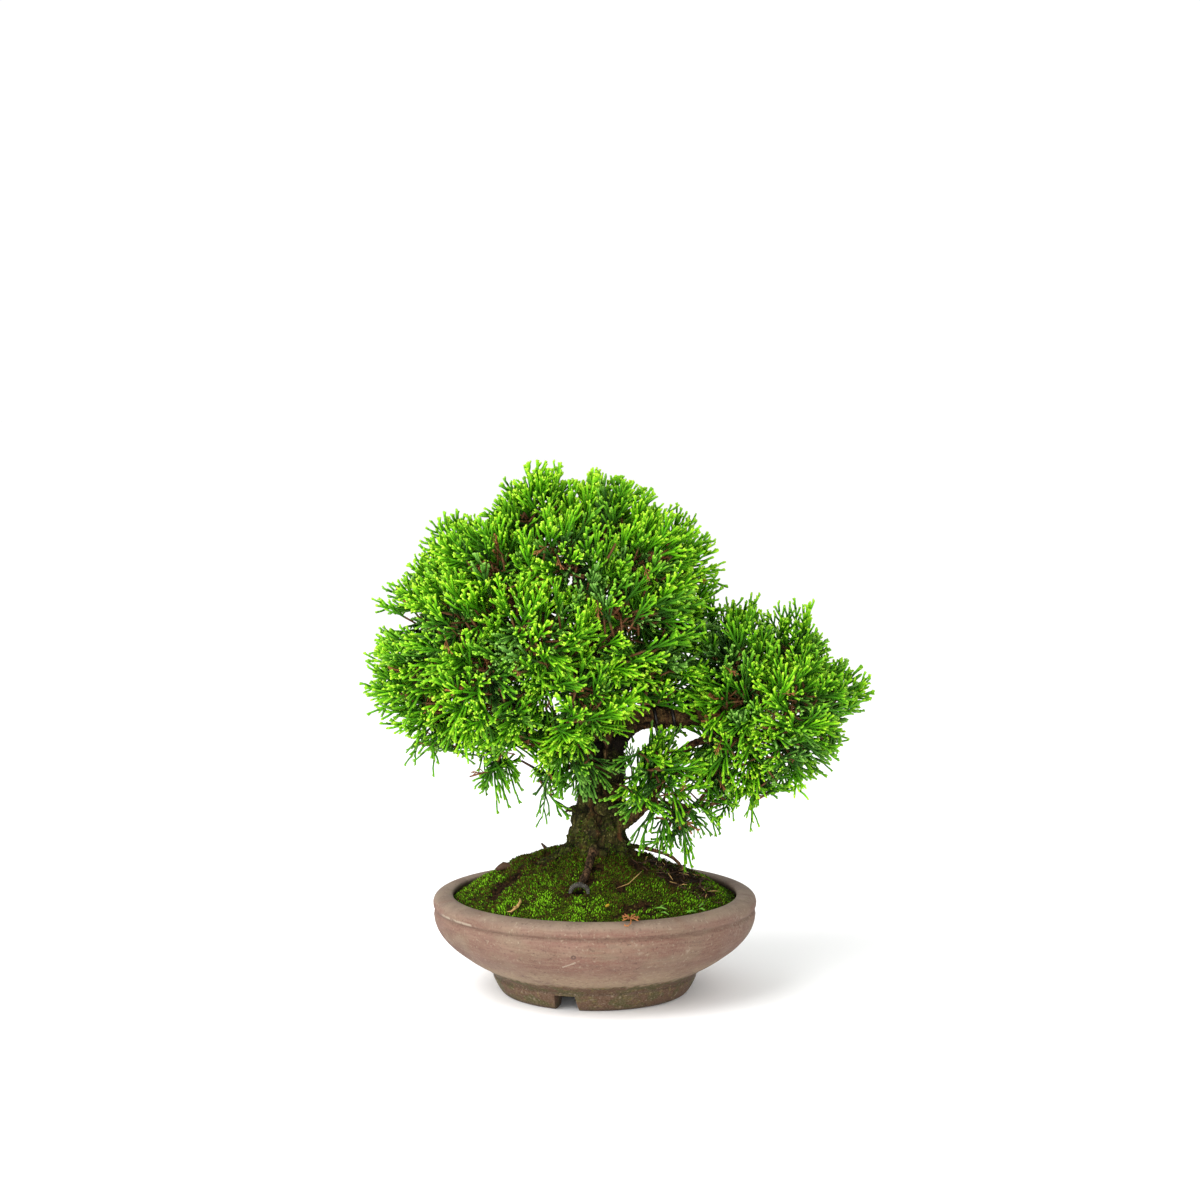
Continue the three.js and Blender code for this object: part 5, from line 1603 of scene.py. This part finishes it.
def covers_opening(root, tip):
    for share in (0.0, 0.35, 0.7, 1.0):
        point = root.lerp(tip, share)
        x, z = as_seen(point)
        for open_x, open_z, half_x, half_z, depth in OPENINGS:
            gap = math.hypot((x - open_x) / (half_x + 3), (z - open_z) / (half_z + 3))
            if point.y < depth and gap < 1:
                return True
    return False


def fibonacci_directions(count, random):
    """Directions spread evenly over the whole sphere, turned at random."""
    turn = random.uniform(0, TAU)
    directions = []
    for k in range(count):
        z = 1 - 2 * (k + 0.5) / count
        ring = math.sqrt(1 - z * z)
        angle = turn + k * GOLDEN_ANGLE
        directions.append(Vector((ring * math.cos(angle), ring * math.sin(angle), z)))
    return directions


def wall_room(tuft, tufts, direction):
    """How far a tuft reaches along a direction before it meets its neighbours."""
    room = math.inf
    for other in tufts:
        if other is tuft:
            continue
        away = other.centre - tuft.centre
        distance = away.length
        if distance > (tuft.radius + other.radius) * 1.15:
            continue
        reach = (distance**2 + tuft.radius**2 - other.radius**2) / (2 * distance)
        facing = away.dot(direction) / distance
        if facing > 1e-6:
            room = min(room, reach / facing)
    return room


def lowest_at(point):
    """The lowest that a tip may hang at a place, clear of the soil, the rim and the floor."""
    radius = math.hypot(point.x, point.y)
    if radius > CLEAR_OF_RIM:
        return LOWEST_BESIDE_POT
    if radius > SOIL_EDGE_RADIUS:
        return LOWEST_OVER_RIM
    return max(float(soil_height(point.x, point.y)) + ROOM_OVER_SOIL, LOWEST_OVER_SOIL)


def spray_turn(heading, roll):
    """The turn that points a spray's +Z along heading with its +X as near to up as it goes."""
    upper = UP - UP.dot(heading) * heading
    if upper.length < 1e-3:
        upper = Vector((1, 0, 0))
    upper.normalize()
    side = heading.cross(upper)
    upper = math.cos(roll) * upper + math.sin(roll) * side
    side = heading.cross(upper)
    return Matrix((upper, side, heading)).transposed().to_euler()


def tone_at(tip, tuft, random):
    """How fresh the shoots look at a place: brighter high up and outside and darker in hanging tufts,
    in drifts, which is partly fresher and older growth and partly painted light and shade.
    """
    tone = 0.42 + 0.4 * noise.noise(tip / 18.0) + random.normal(0, 0.12)
    tone += 0.08 * float(smooth_share(tip.z, 110, 240))
    tone += 0.1 * (tip - tuft.centre).normalized().dot(tuft.outward) - 0.12 * tuft.hang
    x, z = as_seen(tip)
    front = float(smooth_share(tip.y, 30, 0))
    for place_x, place_z, reach, shift in TONE_PLACES:
        gap = math.hypot(x - place_x, z - place_z) / reach
        tone += shift * front * math.exp(-gap * gap)
    return tone


def edge_shoots(tufts):
    """The shoots that make the crown's edge, each given to the tuft that it grows from."""
    owned = {tuft.name: [] for tuft in tufts}
    for x, z, kind in CROWN_EDGE:
        if kind == 0:
            continue

        def gap(tuft):
            seen_x, seen_z = as_seen(tuft.centre)
            return math.hypot(seen_x - x, seen_z - z) - tuft.radius + 0.2 * abs(tuft.centre.y)

        nearest = min(tufts, key=gap)
        owned[nearest.name].append((seen_at(x, z, nearest.centre.y * 0.6), kind == 2))
    return owned


def dead_shoots(tufts):
    """The dead sprays, each at the front of the tuft that shows at its place."""
    owned = {tuft.name: [] for tuft in tufts}
    for x, z in DEAD_PLACES:
        best = None
        for tuft in tufts:
            seen_x, seen_z = as_seen(tuft.centre)
            gap = math.hypot(seen_x - x, seen_z - z)
            if gap < tuft.radius:
                depth = tuft.centre.y - math.sqrt(tuft.radius**2 - gap**2)
                if best is None or depth < best[0]:
                    best = (depth, tuft)
        if best is not None:
            owned[best[1].name].append(seen_at(x, z, best[0] + 2))
    return owned


class Sprays:
    """The sprays of one tuft: where each starts, its turn, size, shape and tone."""

    def __init__(self, lengths):
        self.lengths = lengths
        self.roots, self.turns, self.sizes, self.shapes, self.tones = [], [], [], [], []

    def add(self, tip, heading, size, shape, roll, tone, everywhere=False):
        for axis in range(3):
            low = ROOM_LOW[axis] + ROOM_MARGIN
            high = ROOM_HIGH[axis] - ROOM_MARGIN
            tip[axis] = min(max(tip[axis], low), high)
        tip.z = max(tip.z, lowest_at(tip))
        root = tip - heading * self.lengths[shape] * size
        if covers_opening(root, tip) and not everywhere:
            return
        self.roots.append(root)
        self.turns.append(list(spray_turn(heading, roll)))
        self.sizes.append(size)
        self.shapes.append(int(shape))
        fixed = tone in (DEAD_TONE, SHADE_TONE)
        self.tones.append(tone if fixed else min(max(tone, OLDEST_TONE), FRESHEST_TONE))


def plan_tuft(tuft, tufts, edges, dead, lengths, groups, random):
    bushy, fans, drooping, inner = groups
    sprays = Sprays(lengths)
    share = (tuft.radius / FULL_TUFT_RADIUS) ** 2
    sweep = Vector((tuft.outward.x, 0.35 * tuft.outward.y, tuft.outward.z)).normalized()
    count = round(SPRAYS_PER_FULL_TUFT * share * (1 - 0.55 * tuft.hang))
    for direction in fibonacci_directions(count, random):
        if direction.dot(tuft.outward) < -0.2 - 0.3 * random.uniform():
            continue
        room = wall_room(tuft, tufts, direction)
        swell = noise.noise((tuft.centre + direction * tuft.radius) / CROWN_CLUMP_SIZE)
        reach = tuft.radius * (random.uniform(0.9, 1.08) + CROWN_HOLLOW_DEPTH * min(swell, 0.0))
        if room < NARROWEST_ROOM * reach:
            continue
        reach = min(reach, room * 1.08)
        up_share = 0.28 * (1 - tuft.hang) - 0.55 * tuft.hang
        stray = Vector(random.normal(0, 1, 3))
        stray -= stray.dot(direction) * direction
        heading = 0.8 * direction + 0.36 * sweep + up_share * UP + 0.5 * stray.normalized()
        heading.normalize()
        hanging = tuft.hang > 0.5 or (direction.z < -0.3 and random.uniform() < 0.5)
        shape = random.choice(drooping if hanging else bushy + bushy + fans)
        size = random.uniform(0.8, 1.1) * mix(0.75, 1.0, min(share, 1.0))
        roll = random.uniform(-0.5, 0.5) if hanging else random.uniform(-1.6, 1.6)
        free_tip = tuft.centre + direction * reach
        tip = drawn_in(free_tip, tuft.centre)
        crowded = 0.0
        if tip != free_tip:
            crowded = LOW_EDGE_THINNING * float(smooth_share(tip.z, 175, 135))
        tip.y = min(max(tip.y, -CROWN_HALF_DEPTH), CROWN_HALF_DEPTH)
        hollow = HOLLOW_THINNING * float(smooth_share(swell, -0.1, -0.45))
        sparse = SPARSE_SHARE if tip.z < SPARSE_BELOW else 0.0
        if random.uniform() < max(crowded, hollow, sparse):
            continue
        tone = tone_at(tip, tuft, random) + HOLLOW_SHADE_TONE * swell
        sprays.add(tip, heading, size, shape, roll, tone)
    for direction in fibonacci_directions(max(4, round(INNER_PER_FULL_TUFT * share)), random):
        tip = tuft.centre + direction * tuft.radius * random.uniform(0.45, 0.7)
        heading = (direction + 0.3 * tuft.outward).normalized()
        # Inner sprays are darker, partly older growth and partly painted shade inside the crown.
        tone = tone_at(tip, tuft, random) - 0.35
        if tone < SHADED_BELOW:
            tone = SHADE_TONE
        if random.uniform() < DEAD_INNER_SHARE:
            tone = DEAD_TONE
        size = random.uniform(0.85, 1.1)
        sprays.add(drawn_in(tip, tuft.centre), heading, size, random.choice(inner), 0.0, tone)
    for tip, hangs in edges:
        out = (tip - tuft.centre).normalized()
        heading = (out - 0.7 * UP if hangs else out + 0.25 * UP).normalized()
        shape = random.choice(drooping if hangs else bushy + fans)
        size = random.uniform(0.8, 0.95)
        roll = random.uniform(-0.4, 0.4)
        tone = tone_at(tip, tuft, random) + 0.1
        sprays.add(tip - EDGE_SLACK * heading, heading, size, shape, roll, tone, everywhere=True)
    for x, z, tip_x, tip_z, depth, tone in PLACED_SPRAYS.get(tuft.name[len("foliage_") :], ()):
        root = seen_at(x, z, depth * 0.7)
        tip = seen_at(tip_x, tip_z, depth)
        falls = tip.z < root.z - 12
        shape = random.choice(drooping if falls and depth > -18 else fans)
        run = tip - root
        size = min(max(run.length / lengths[shape], 0.6), 1.15)
        roll = random.uniform(-0.3, 0.3)
        sprays.add(tip, run.normalized(), size, shape, roll, tone, everywhere=True)
    for tip in dead:
        side = Vector((random.uniform(-1, 1), -0.3, random.uniform(-1, 0.2))).normalized()
        size = random.uniform(0.32, 0.44)
        sprays.add(tip, side, size, random.choice(inner), 0.0, DEAD_TONE, everywhere=True)
    return sprays


def grow_tuft(tuft, sprays, shapes, tree, material, seed):
    base = mesh_of(tuft.name, sprays.roots, [], size=sprays.sizes, tone=sprays.tones)
    layer = base.attributes.new("turn", "FLOAT_VECTOR", "POINT")
    layer.data.foreach_set("vector", np.array(sprays.turns, np.float32).ravel())
    layer = base.attributes.new("shape", "INT", "POINT")
    layer.data.foreach_set("value", sprays.shapes)
    mesh = grow(tuft.name, base, tree, {"Shapes": shapes, "Finish": material, "Seed": seed})
    keep_only(mesh, PALETTE)
    put_on_body("sprays" + tuft.name[len("foliage") :], mesh, [tuft.name])


# Training wire round the heavy branch: where it runs, its middle and its distance from it.
WIRE_RADIUS = 1.05
WIRE_TURNS = 2.6
WIRE_FROM = 27.0
WIRE_TO = 52.0
WIRE_MIDDLE = (0.0, 151.0)
WIRE_REACH = 8.4
WIRE_START_ANGLE = -1.0
WIRE_STEPS = 150
WIRE_SIDES = 12


def wire_tree():
    """A round wire along a path."""
    inputs = {
        "Path": (GEOMETRY, None),
        "Radius": (NUMBER, 0.001),
        "Sides": (COUNT, 12),
        "Finish": (MATERIAL, None),
    }
    tree, start, end = new_tree("GeometryNodeTree", "wire_along_path", inputs, {"Wire": GEOMETRY})
    given = start.outputs
    path = add(tree, "GeometryNodeMeshToCurve", {"Mesh": given["Path"]})
    links = {"Resolution": given["Sides"], "Radius": given["Radius"]}
    ring = add(tree, "GeometryNodeCurvePrimitiveCircle", links)
    links = {"Curve": path.outputs[0], "Profile Curve": ring.outputs[0], "Fill Caps": True}
    wire = add(tree, "GeometryNodeCurveToMesh", links)
    close_tree(tree, end, wire.outputs[0], given["Finish"], palette=False)
    return tree


def wire_material():
    material, tree, surface = start_material("dark_wire", 0.42, 0.5, metallic=0.6)
    worn = mottle(tree, 3.0, 0.5, 0.68)
    colour = colour_mix(tree, worn, (18, 15, 14), (62, 53, 47))
    tree.links.new(colour, surface.inputs["Base Color"])
    roughen(tree, surface, worn, 0.3, 0.1)
    return material


def make_wire():
    points = []
    for k in range(WIRE_STEPS + 1):
        t = k / WIRE_STEPS
        angle = WIRE_START_ANGLE + t * WIRE_TURNS * TAU
        y = WIRE_MIDDLE[0] + WIRE_REACH * math.cos(angle)
        z = WIRE_MIDDLE[1] + WIRE_REACH * math.sin(angle)
        points.append((mix(WIRE_FROM, WIRE_TO, t), y, z))
    path = bpy.data.meshes.new("wire_path")
    placed = (np.array(points) + np.array(POT_AXIS)) * MM
    path.from_pydata(placed.tolist(), [(k, k + 1) for k in range(WIRE_STEPS)], [])
    finish = wire_material()
    values = {"Radius": WIRE_RADIUS * MM, "Sides": WIRE_SIDES, "Finish": finish}
    mesh = grow("training_wire", path, wire_tree(), values)
    keep_only(mesh)
    put_on_body("wire_turns", mesh, ["training_wire"], finish)


# Loose bits on the moss: dry shoots, a straw, a yellow leaf, grass and a bark stub. The tone of
# each picks its colour.
DRY_ORANGE, DRY_STRAW, LEAF_YELLOW, GRASS_GREEN, BARK_BROWN = 0.1, 0.3, 0.5, 0.7, 0.9

# The dry shoot on the front of the rim: where each arm runs from its middle.
STAR_ARMS = [
    [(16.6, -79.0, 57.3), (14.6, -78.6, 56.8)], [(17.2, -78.0, 57.6), (16.0, -77.2, 57.4)],
    [(19.6, -78.2, 57.8), (20.6, -77.4, 57.4)], [(20.8, -79.4, 57.2), (23.0, -79.4, 56.6)],
    [(20.4, -81.2, 56.6), (22.4, -82.2, 55.8)], [(16.8, -81.4, 56.6), (14.8, -82.2, 55.9)],
    [(18.9, -83.0, 56.2), (18.7, -85.6, 55.0), (17.2, -86.8, 53.9), (15.6, -86.4, 54.0)],
]
# The stops along the other bits: x, y and the height above the ground.
CURLED_SHOOT = [(-39.6, -49.0, 2.2), (-39.2, -52.2, 2.0), (-40.6, -55.6, 1.8), (-44.0, -57.6, 1.6)]
STRAWS = [
    [(25.2, -31.0, 2.4), (22.4, -38.0, 2.6), (18.0, -44.6, 2.4), (11.0, -50.6, 1.9)],
    [(39.8, -20.2, 1.6), (41.0, -23.0, 1.8), (42.6, -26.6, 1.5)],
]
# Each blade of grass: x and y of its foot, and how far it reaches from there.
GRASS_BLADES = [
    (31.6, -59.4, 6.6, -3.4, 0.2), (36.6, -56.4, -2.6, -6.0, 0.4), (39.0, -62.0, -4.4, 3.4, 0.8),
    (58.6, -40.6, -3.4, -7.6, 0.4), (53.6, -51.6, -5.0, -2.6, 0.3), (55.4, -48.0, 3.0, -4.0, 0.2),
]
# The lump of bark at the left: its steps from where it lies, and its radii.
LUMP_STEPS = [
    (-5.2, 0, 0), (-3, 0, 1.0), (-1, 0.4, 2.0), (2.6, 1, 1.5), (4.4, 1.2, 1.4), (6.2, 1.4, 0.5),
    (7.2, 1.5, 0),
]
LUMP_RADII = [0.9, 1.8, 2.4, 1.9, 2.1, 0.9]
STAR_HEART = Vector((18.5, -79.6, 56.0))
LEAF_PLACE = (5.6, -65.0, 1.9)
STUB_PLACE = (-27.5, 12.0, -1.0)
LUMP_PLACE = (-49.0, -3.0, -0.4)
# The dead twigs strewn over the bare soil.
STREWN_COUNT = 110
STREWN_SEED = 77
STREWN_LIMIT = 72


def above_soil(x, y, height):
    return Vector((x, y, float(soil_height(x, y)) + height))


def make_litter():
    litter = Growth()

    def bit(spine, radii, tone, sides=5):
        litter.tube(spine, radii, [tone] * (len(radii) + 1), sides)

    random = np.random.default_rng(STREWN_SEED)
    for arm in STAR_ARMS:
        stops = [STAR_HEART] + [Vector(stop) for stop in arm]
        last = stops[-1] + 0.3 * (stops[-1] - stops[-2])
        bit(stops + [last], [0.28] + [0.36] * len(arm), DRY_ORANGE)
        side = Vector((0.9, 0.5, 0.5)) if stops[-1].x > STAR_HEART.x else Vector((-0.9, 0.4, 0.6))
        fork = stops[-2].lerp(stops[-1], 0.5)
        bit([fork, fork + side * 0.9, fork + side * 1.3], [0.28, 0.3], DRY_ORANGE)
    curl = [above_soil(*place) for place in CURLED_SHOOT]
    tail = curl[-1] + Vector((-2.6, -0.4, 0.2))
    bit([*curl, tail], [0.35, 0.75, 0.85, 0.6], DRY_STRAW)
    prong = curl[2] + Vector((-1.4, -1.8, 0.2))
    bit([curl[2], prong, prong + Vector((-1.4, -0.4, -0.2))], [0.35, 0.35], DRY_STRAW)
    for stops in STRAWS:
        straw = [above_soil(*place) for place in stops]
        bit(straw, [0.24] * (len(straw) - 1), DRY_STRAW, sides=4)
    leaf = above_soil(*LEAF_PLACE)
    leaf_spine = [leaf, leaf + Vector((0.7, 0.1, 0.5)), leaf + Vector((1.9, 0.5, 1.0))]
    bit([*leaf_spine, leaf + Vector((2.5, 0.7, 1.1))], [0.35, 0.9, 0.7], LEAF_YELLOW, sides=6)
    for foot_x, foot_y, reach_x, reach_y, reach_z in GRASS_BLADES:
        foot = above_soil(foot_x, foot_y, 1.6)
        reach = Vector((reach_x, reach_y, reach_z))
        bow = foot + reach * 0.5 + UP * 0.7
        bit([foot, bow, foot + reach * 0.9, foot + reach], [0.3, 0.55, 0.34], GRASS_GREEN)
    for _ in range(STREWN_COUNT):
        angle = random.uniform(-0.6, 0.6)
        radius = random.uniform(24, 70)
        x, y = radius * math.cos(angle), radius * math.sin(angle) - 5
        if math.hypot(x, y) > STREWN_LIMIT:
            continue
        foot = above_soil(x, y, 0.9)
        way = Vector((*random.normal(0, 1, 2), random.uniform(-0.1, 0.5))).normalized()
        run = random.uniform(2.5, 7.0)
        bend = Vector(random.normal(0, 0.8, 3))
        tone = DRY_STRAW if random.uniform() < 0.12 else BARK_BROWN
        bit([foot - way, foot + way * run * 0.5 + bend, foot + way * run], [0.26, 0.3], tone, sides=3)
    stub = above_soil(*STUB_PLACE)
    crook = stub + Vector((-1.8, 0, 5.6))
    bit([stub, stub + UP * 3.6, crook, crook + Vector((-0.8, 0, 0.4))], [1.5, 1.1, 0.6], BARK_BROWN, 7)
    lump = above_soil(*LUMP_PLACE)
    bit([lump + Vector(step) for step in LUMP_STEPS], LUMP_RADII, BARK_BROWN, sides=9)
    mesh = litter.mesh("litter")
    put_on_body("litter", mesh, (), litter_material())


def litter_material():
    material, tree, surface = start_material("dry_litter", 0.7, 0.25)
    kind = share_on(tree, "age")
    colours = [
        (DRY_ORANGE, (148, 92, 50)),
        (DRY_STRAW, (172, 138, 82)),
        (LEAF_YELLOW, (156, 126, 16)),
        (GRASS_GREEN, (92, 146, 44)),
        (BARK_BROWN, (58, 37, 23)),
    ]
    colour = colour_steps(tree, kind, colours)
    shade = mottle(tree, 1.6, 0.3, 0.7)
    colour = tint(tree, colour, shade, 0.4, (66, 40, 20))
    tree.links.new(colour, surface.inputs["Base Color"])
    roughen(tree, surface, shade, 0.4, 0.15)
    return material


def dress_screen():
    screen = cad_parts["drain_screen"]
    screen.data.materials.clear()
    screen.data.materials.append(screen_material())


def grow_moss(name, ground, plant, finish, density, seed, **sizes):
    """Moss on a surface, where the surface's own shares say that it grows."""
    values = {"Plant": plant, "Plants per square metre": density, "Seed": seed, "Finish": finish}
    mesh = grow(name, ground.copy(), MOSS_SCATTER, {**values, **sizes})
    keep_only(mesh, PALETTE)
    return mesh


def make_soil(plant, moss_finish):
    soil_mesh = make_soil_mesh()
    moss = grow_moss("moss", soil_mesh, plant, moss_finish, SOIL_MOSS_DENSITY, SOIL_MOSS_SEED)
    put_on_body("soil_mound", soil_mesh, ["soil"], soil_material())
    put_on_body("moss", moss)


def make_wood(plant, moss_finish, bark):
    limbs = Growth()
    for limb in WOOD.values():
        add_limb(limbs, limb, LIMB_SIDES, LIMB_STEP)
    solid_wood = link(bpy.data.objects.new("wood", limbs.mesh("wood")))
    remesh = solid_wood.modifiers.new("one_skin", "REMESH")
    remesh.mode = "VOXEL"
    remesh.voxel_size = BARK_VOXEL * MM
    softened = solid_wood.modifiers.new("soften", "SMOOTH")
    softened.factor = 0.5
    softened.iterations = 3
    mesh = finished_mesh(solid_wood, "trunk")
    shape_bark(mesh)
    sizes = {"Smallest": 0.45, "Largest": 0.95}
    moss = grow_moss(
        "trunk_moss", mesh, plant, moss_finish, TRUNK_MOSS_DENSITY, TRUNK_MOSS_SEED, **sizes
    )
    mesh.shade_smooth()
    put_on_body("trunk_and_branches_bark", mesh, ["trunk_and_branches"], bark)
    put_on_body("moss_on_trunk", moss)


def make_twigs(tufts, bark):
    twigs = Growth()
    for tuft in tufts:
        add_limb(twigs, twig_to(tuft), TWIG_SIDES, TWIG_STEP)
    mesh = twigs.mesh("twigs")
    set_share(mesh, "slim", np.ones(len(mesh.vertices)))
    put_on_body("twigs", mesh, (), bark)


def make_foliage(tufts):
    shapes, lengths, groups = spray_shapes()
    tree = tuft_tree()
    scales = foliage_material()
    edges = edge_shoots(tufts)
    dead = dead_shoots(tufts)
    for number, tuft in enumerate(tufts):
        random = np.random.default_rng(PLAN_SEED + number)
        sprays = plan_tuft(tuft, tufts, edges[tuft.name], dead[tuft.name], lengths, groups, random)
        grow_tuft(tuft, sprays, shapes, tree, scales, number)


# The studio, in metres: a pale floor, even light from all sides, a key light and a low fill.
FLOOR_HALF_WIDTH = 20.0
FLOOR_DEPTH = 0.0002
FLOOR_TONE = 0.97
SKY_STRENGTH = 1.04
LIGHT_TARGET = Vector((0, 0, 0.12))
# The camera stands where the photograph was taken from.
CAMERA_PITCH = 5.0
CAMERA_LENS = 75.0
CAMERA_FILM_WIDTH = 36.0


def make_floor():
    half = FLOOR_HALF_WIDTH
    corners = [(-half, -half, 0), (half, -half, 0), (half, half, 0), (-half, half, 0)]
    mesh = mesh_of("floor", corners, [[0, 1, 2, 3]], scale=1.0, offset=Vector())
    floor = link(bpy.data.objects.new("floor", mesh))
    floor.location.z = -FLOOR_DEPTH
    material, _, surface = start_material("pale_floor", 1.0)
    surface.inputs["Base Color"].default_value = (FLOOR_TONE, FLOOR_TONE, FLOOR_TONE, 1.0)
    mesh.materials.append(material)


def make_sky():
    world = bpy.data.worlds.new("studio")
    scene.world = world
    world.use_nodes = True
    sky = world.node_tree.nodes["Background"]
    sky.inputs["Color"].default_value = (1.0, 1.0, 1.0, 1.0)
    sky.inputs["Strength"].default_value = SKY_STRENGTH


def soft_light(name, place, width, height, power):
    light = bpy.data.lights.new(name, "AREA")
    light.shape = "RECTANGLE"
    light.size = width
    light.size_y = height
    light.energy = power
    lamp = link(bpy.data.objects.new(name, light))
    lamp.location = place
    lamp.rotation_mode = "QUATERNION"
    lamp.rotation_quaternion = (LIGHT_TARGET - lamp.location).to_track_quat("-Z", "Y")


def make_camera():
    view = bpy.data.cameras.new("camera")
    view.lens = CAMERA_LENS
    view.sensor_width = CAMERA_FILM_WIDTH
    camera = link(bpy.data.objects.new("camera", view))
    camera.location = (VIEWER + POT_AXIS) * MM
    camera.rotation_euler = (math.radians(90 - CAMERA_PITCH), 0, 0)
    scene.camera = camera


# Build


dress_screen()
make_pot()
moss_finish = moss_material()
plant = moss_plant()
make_soil(plant, moss_finish)
bark = bark_material()
make_wood(plant, moss_finish, bark)
tufts = tuft_list()
make_twigs(tufts, bark)
make_callus()
make_wire()
make_litter()
make_foliage(tufts)
make_floor()
make_sky()
soft_light("key", (-1.15, -0.95, 1.15), 1.5, 1.5, 42.0)
soft_light("low_fill", (0.0, -1.7, 0.24), 2.0, 0.44, 20.0)
make_camera()
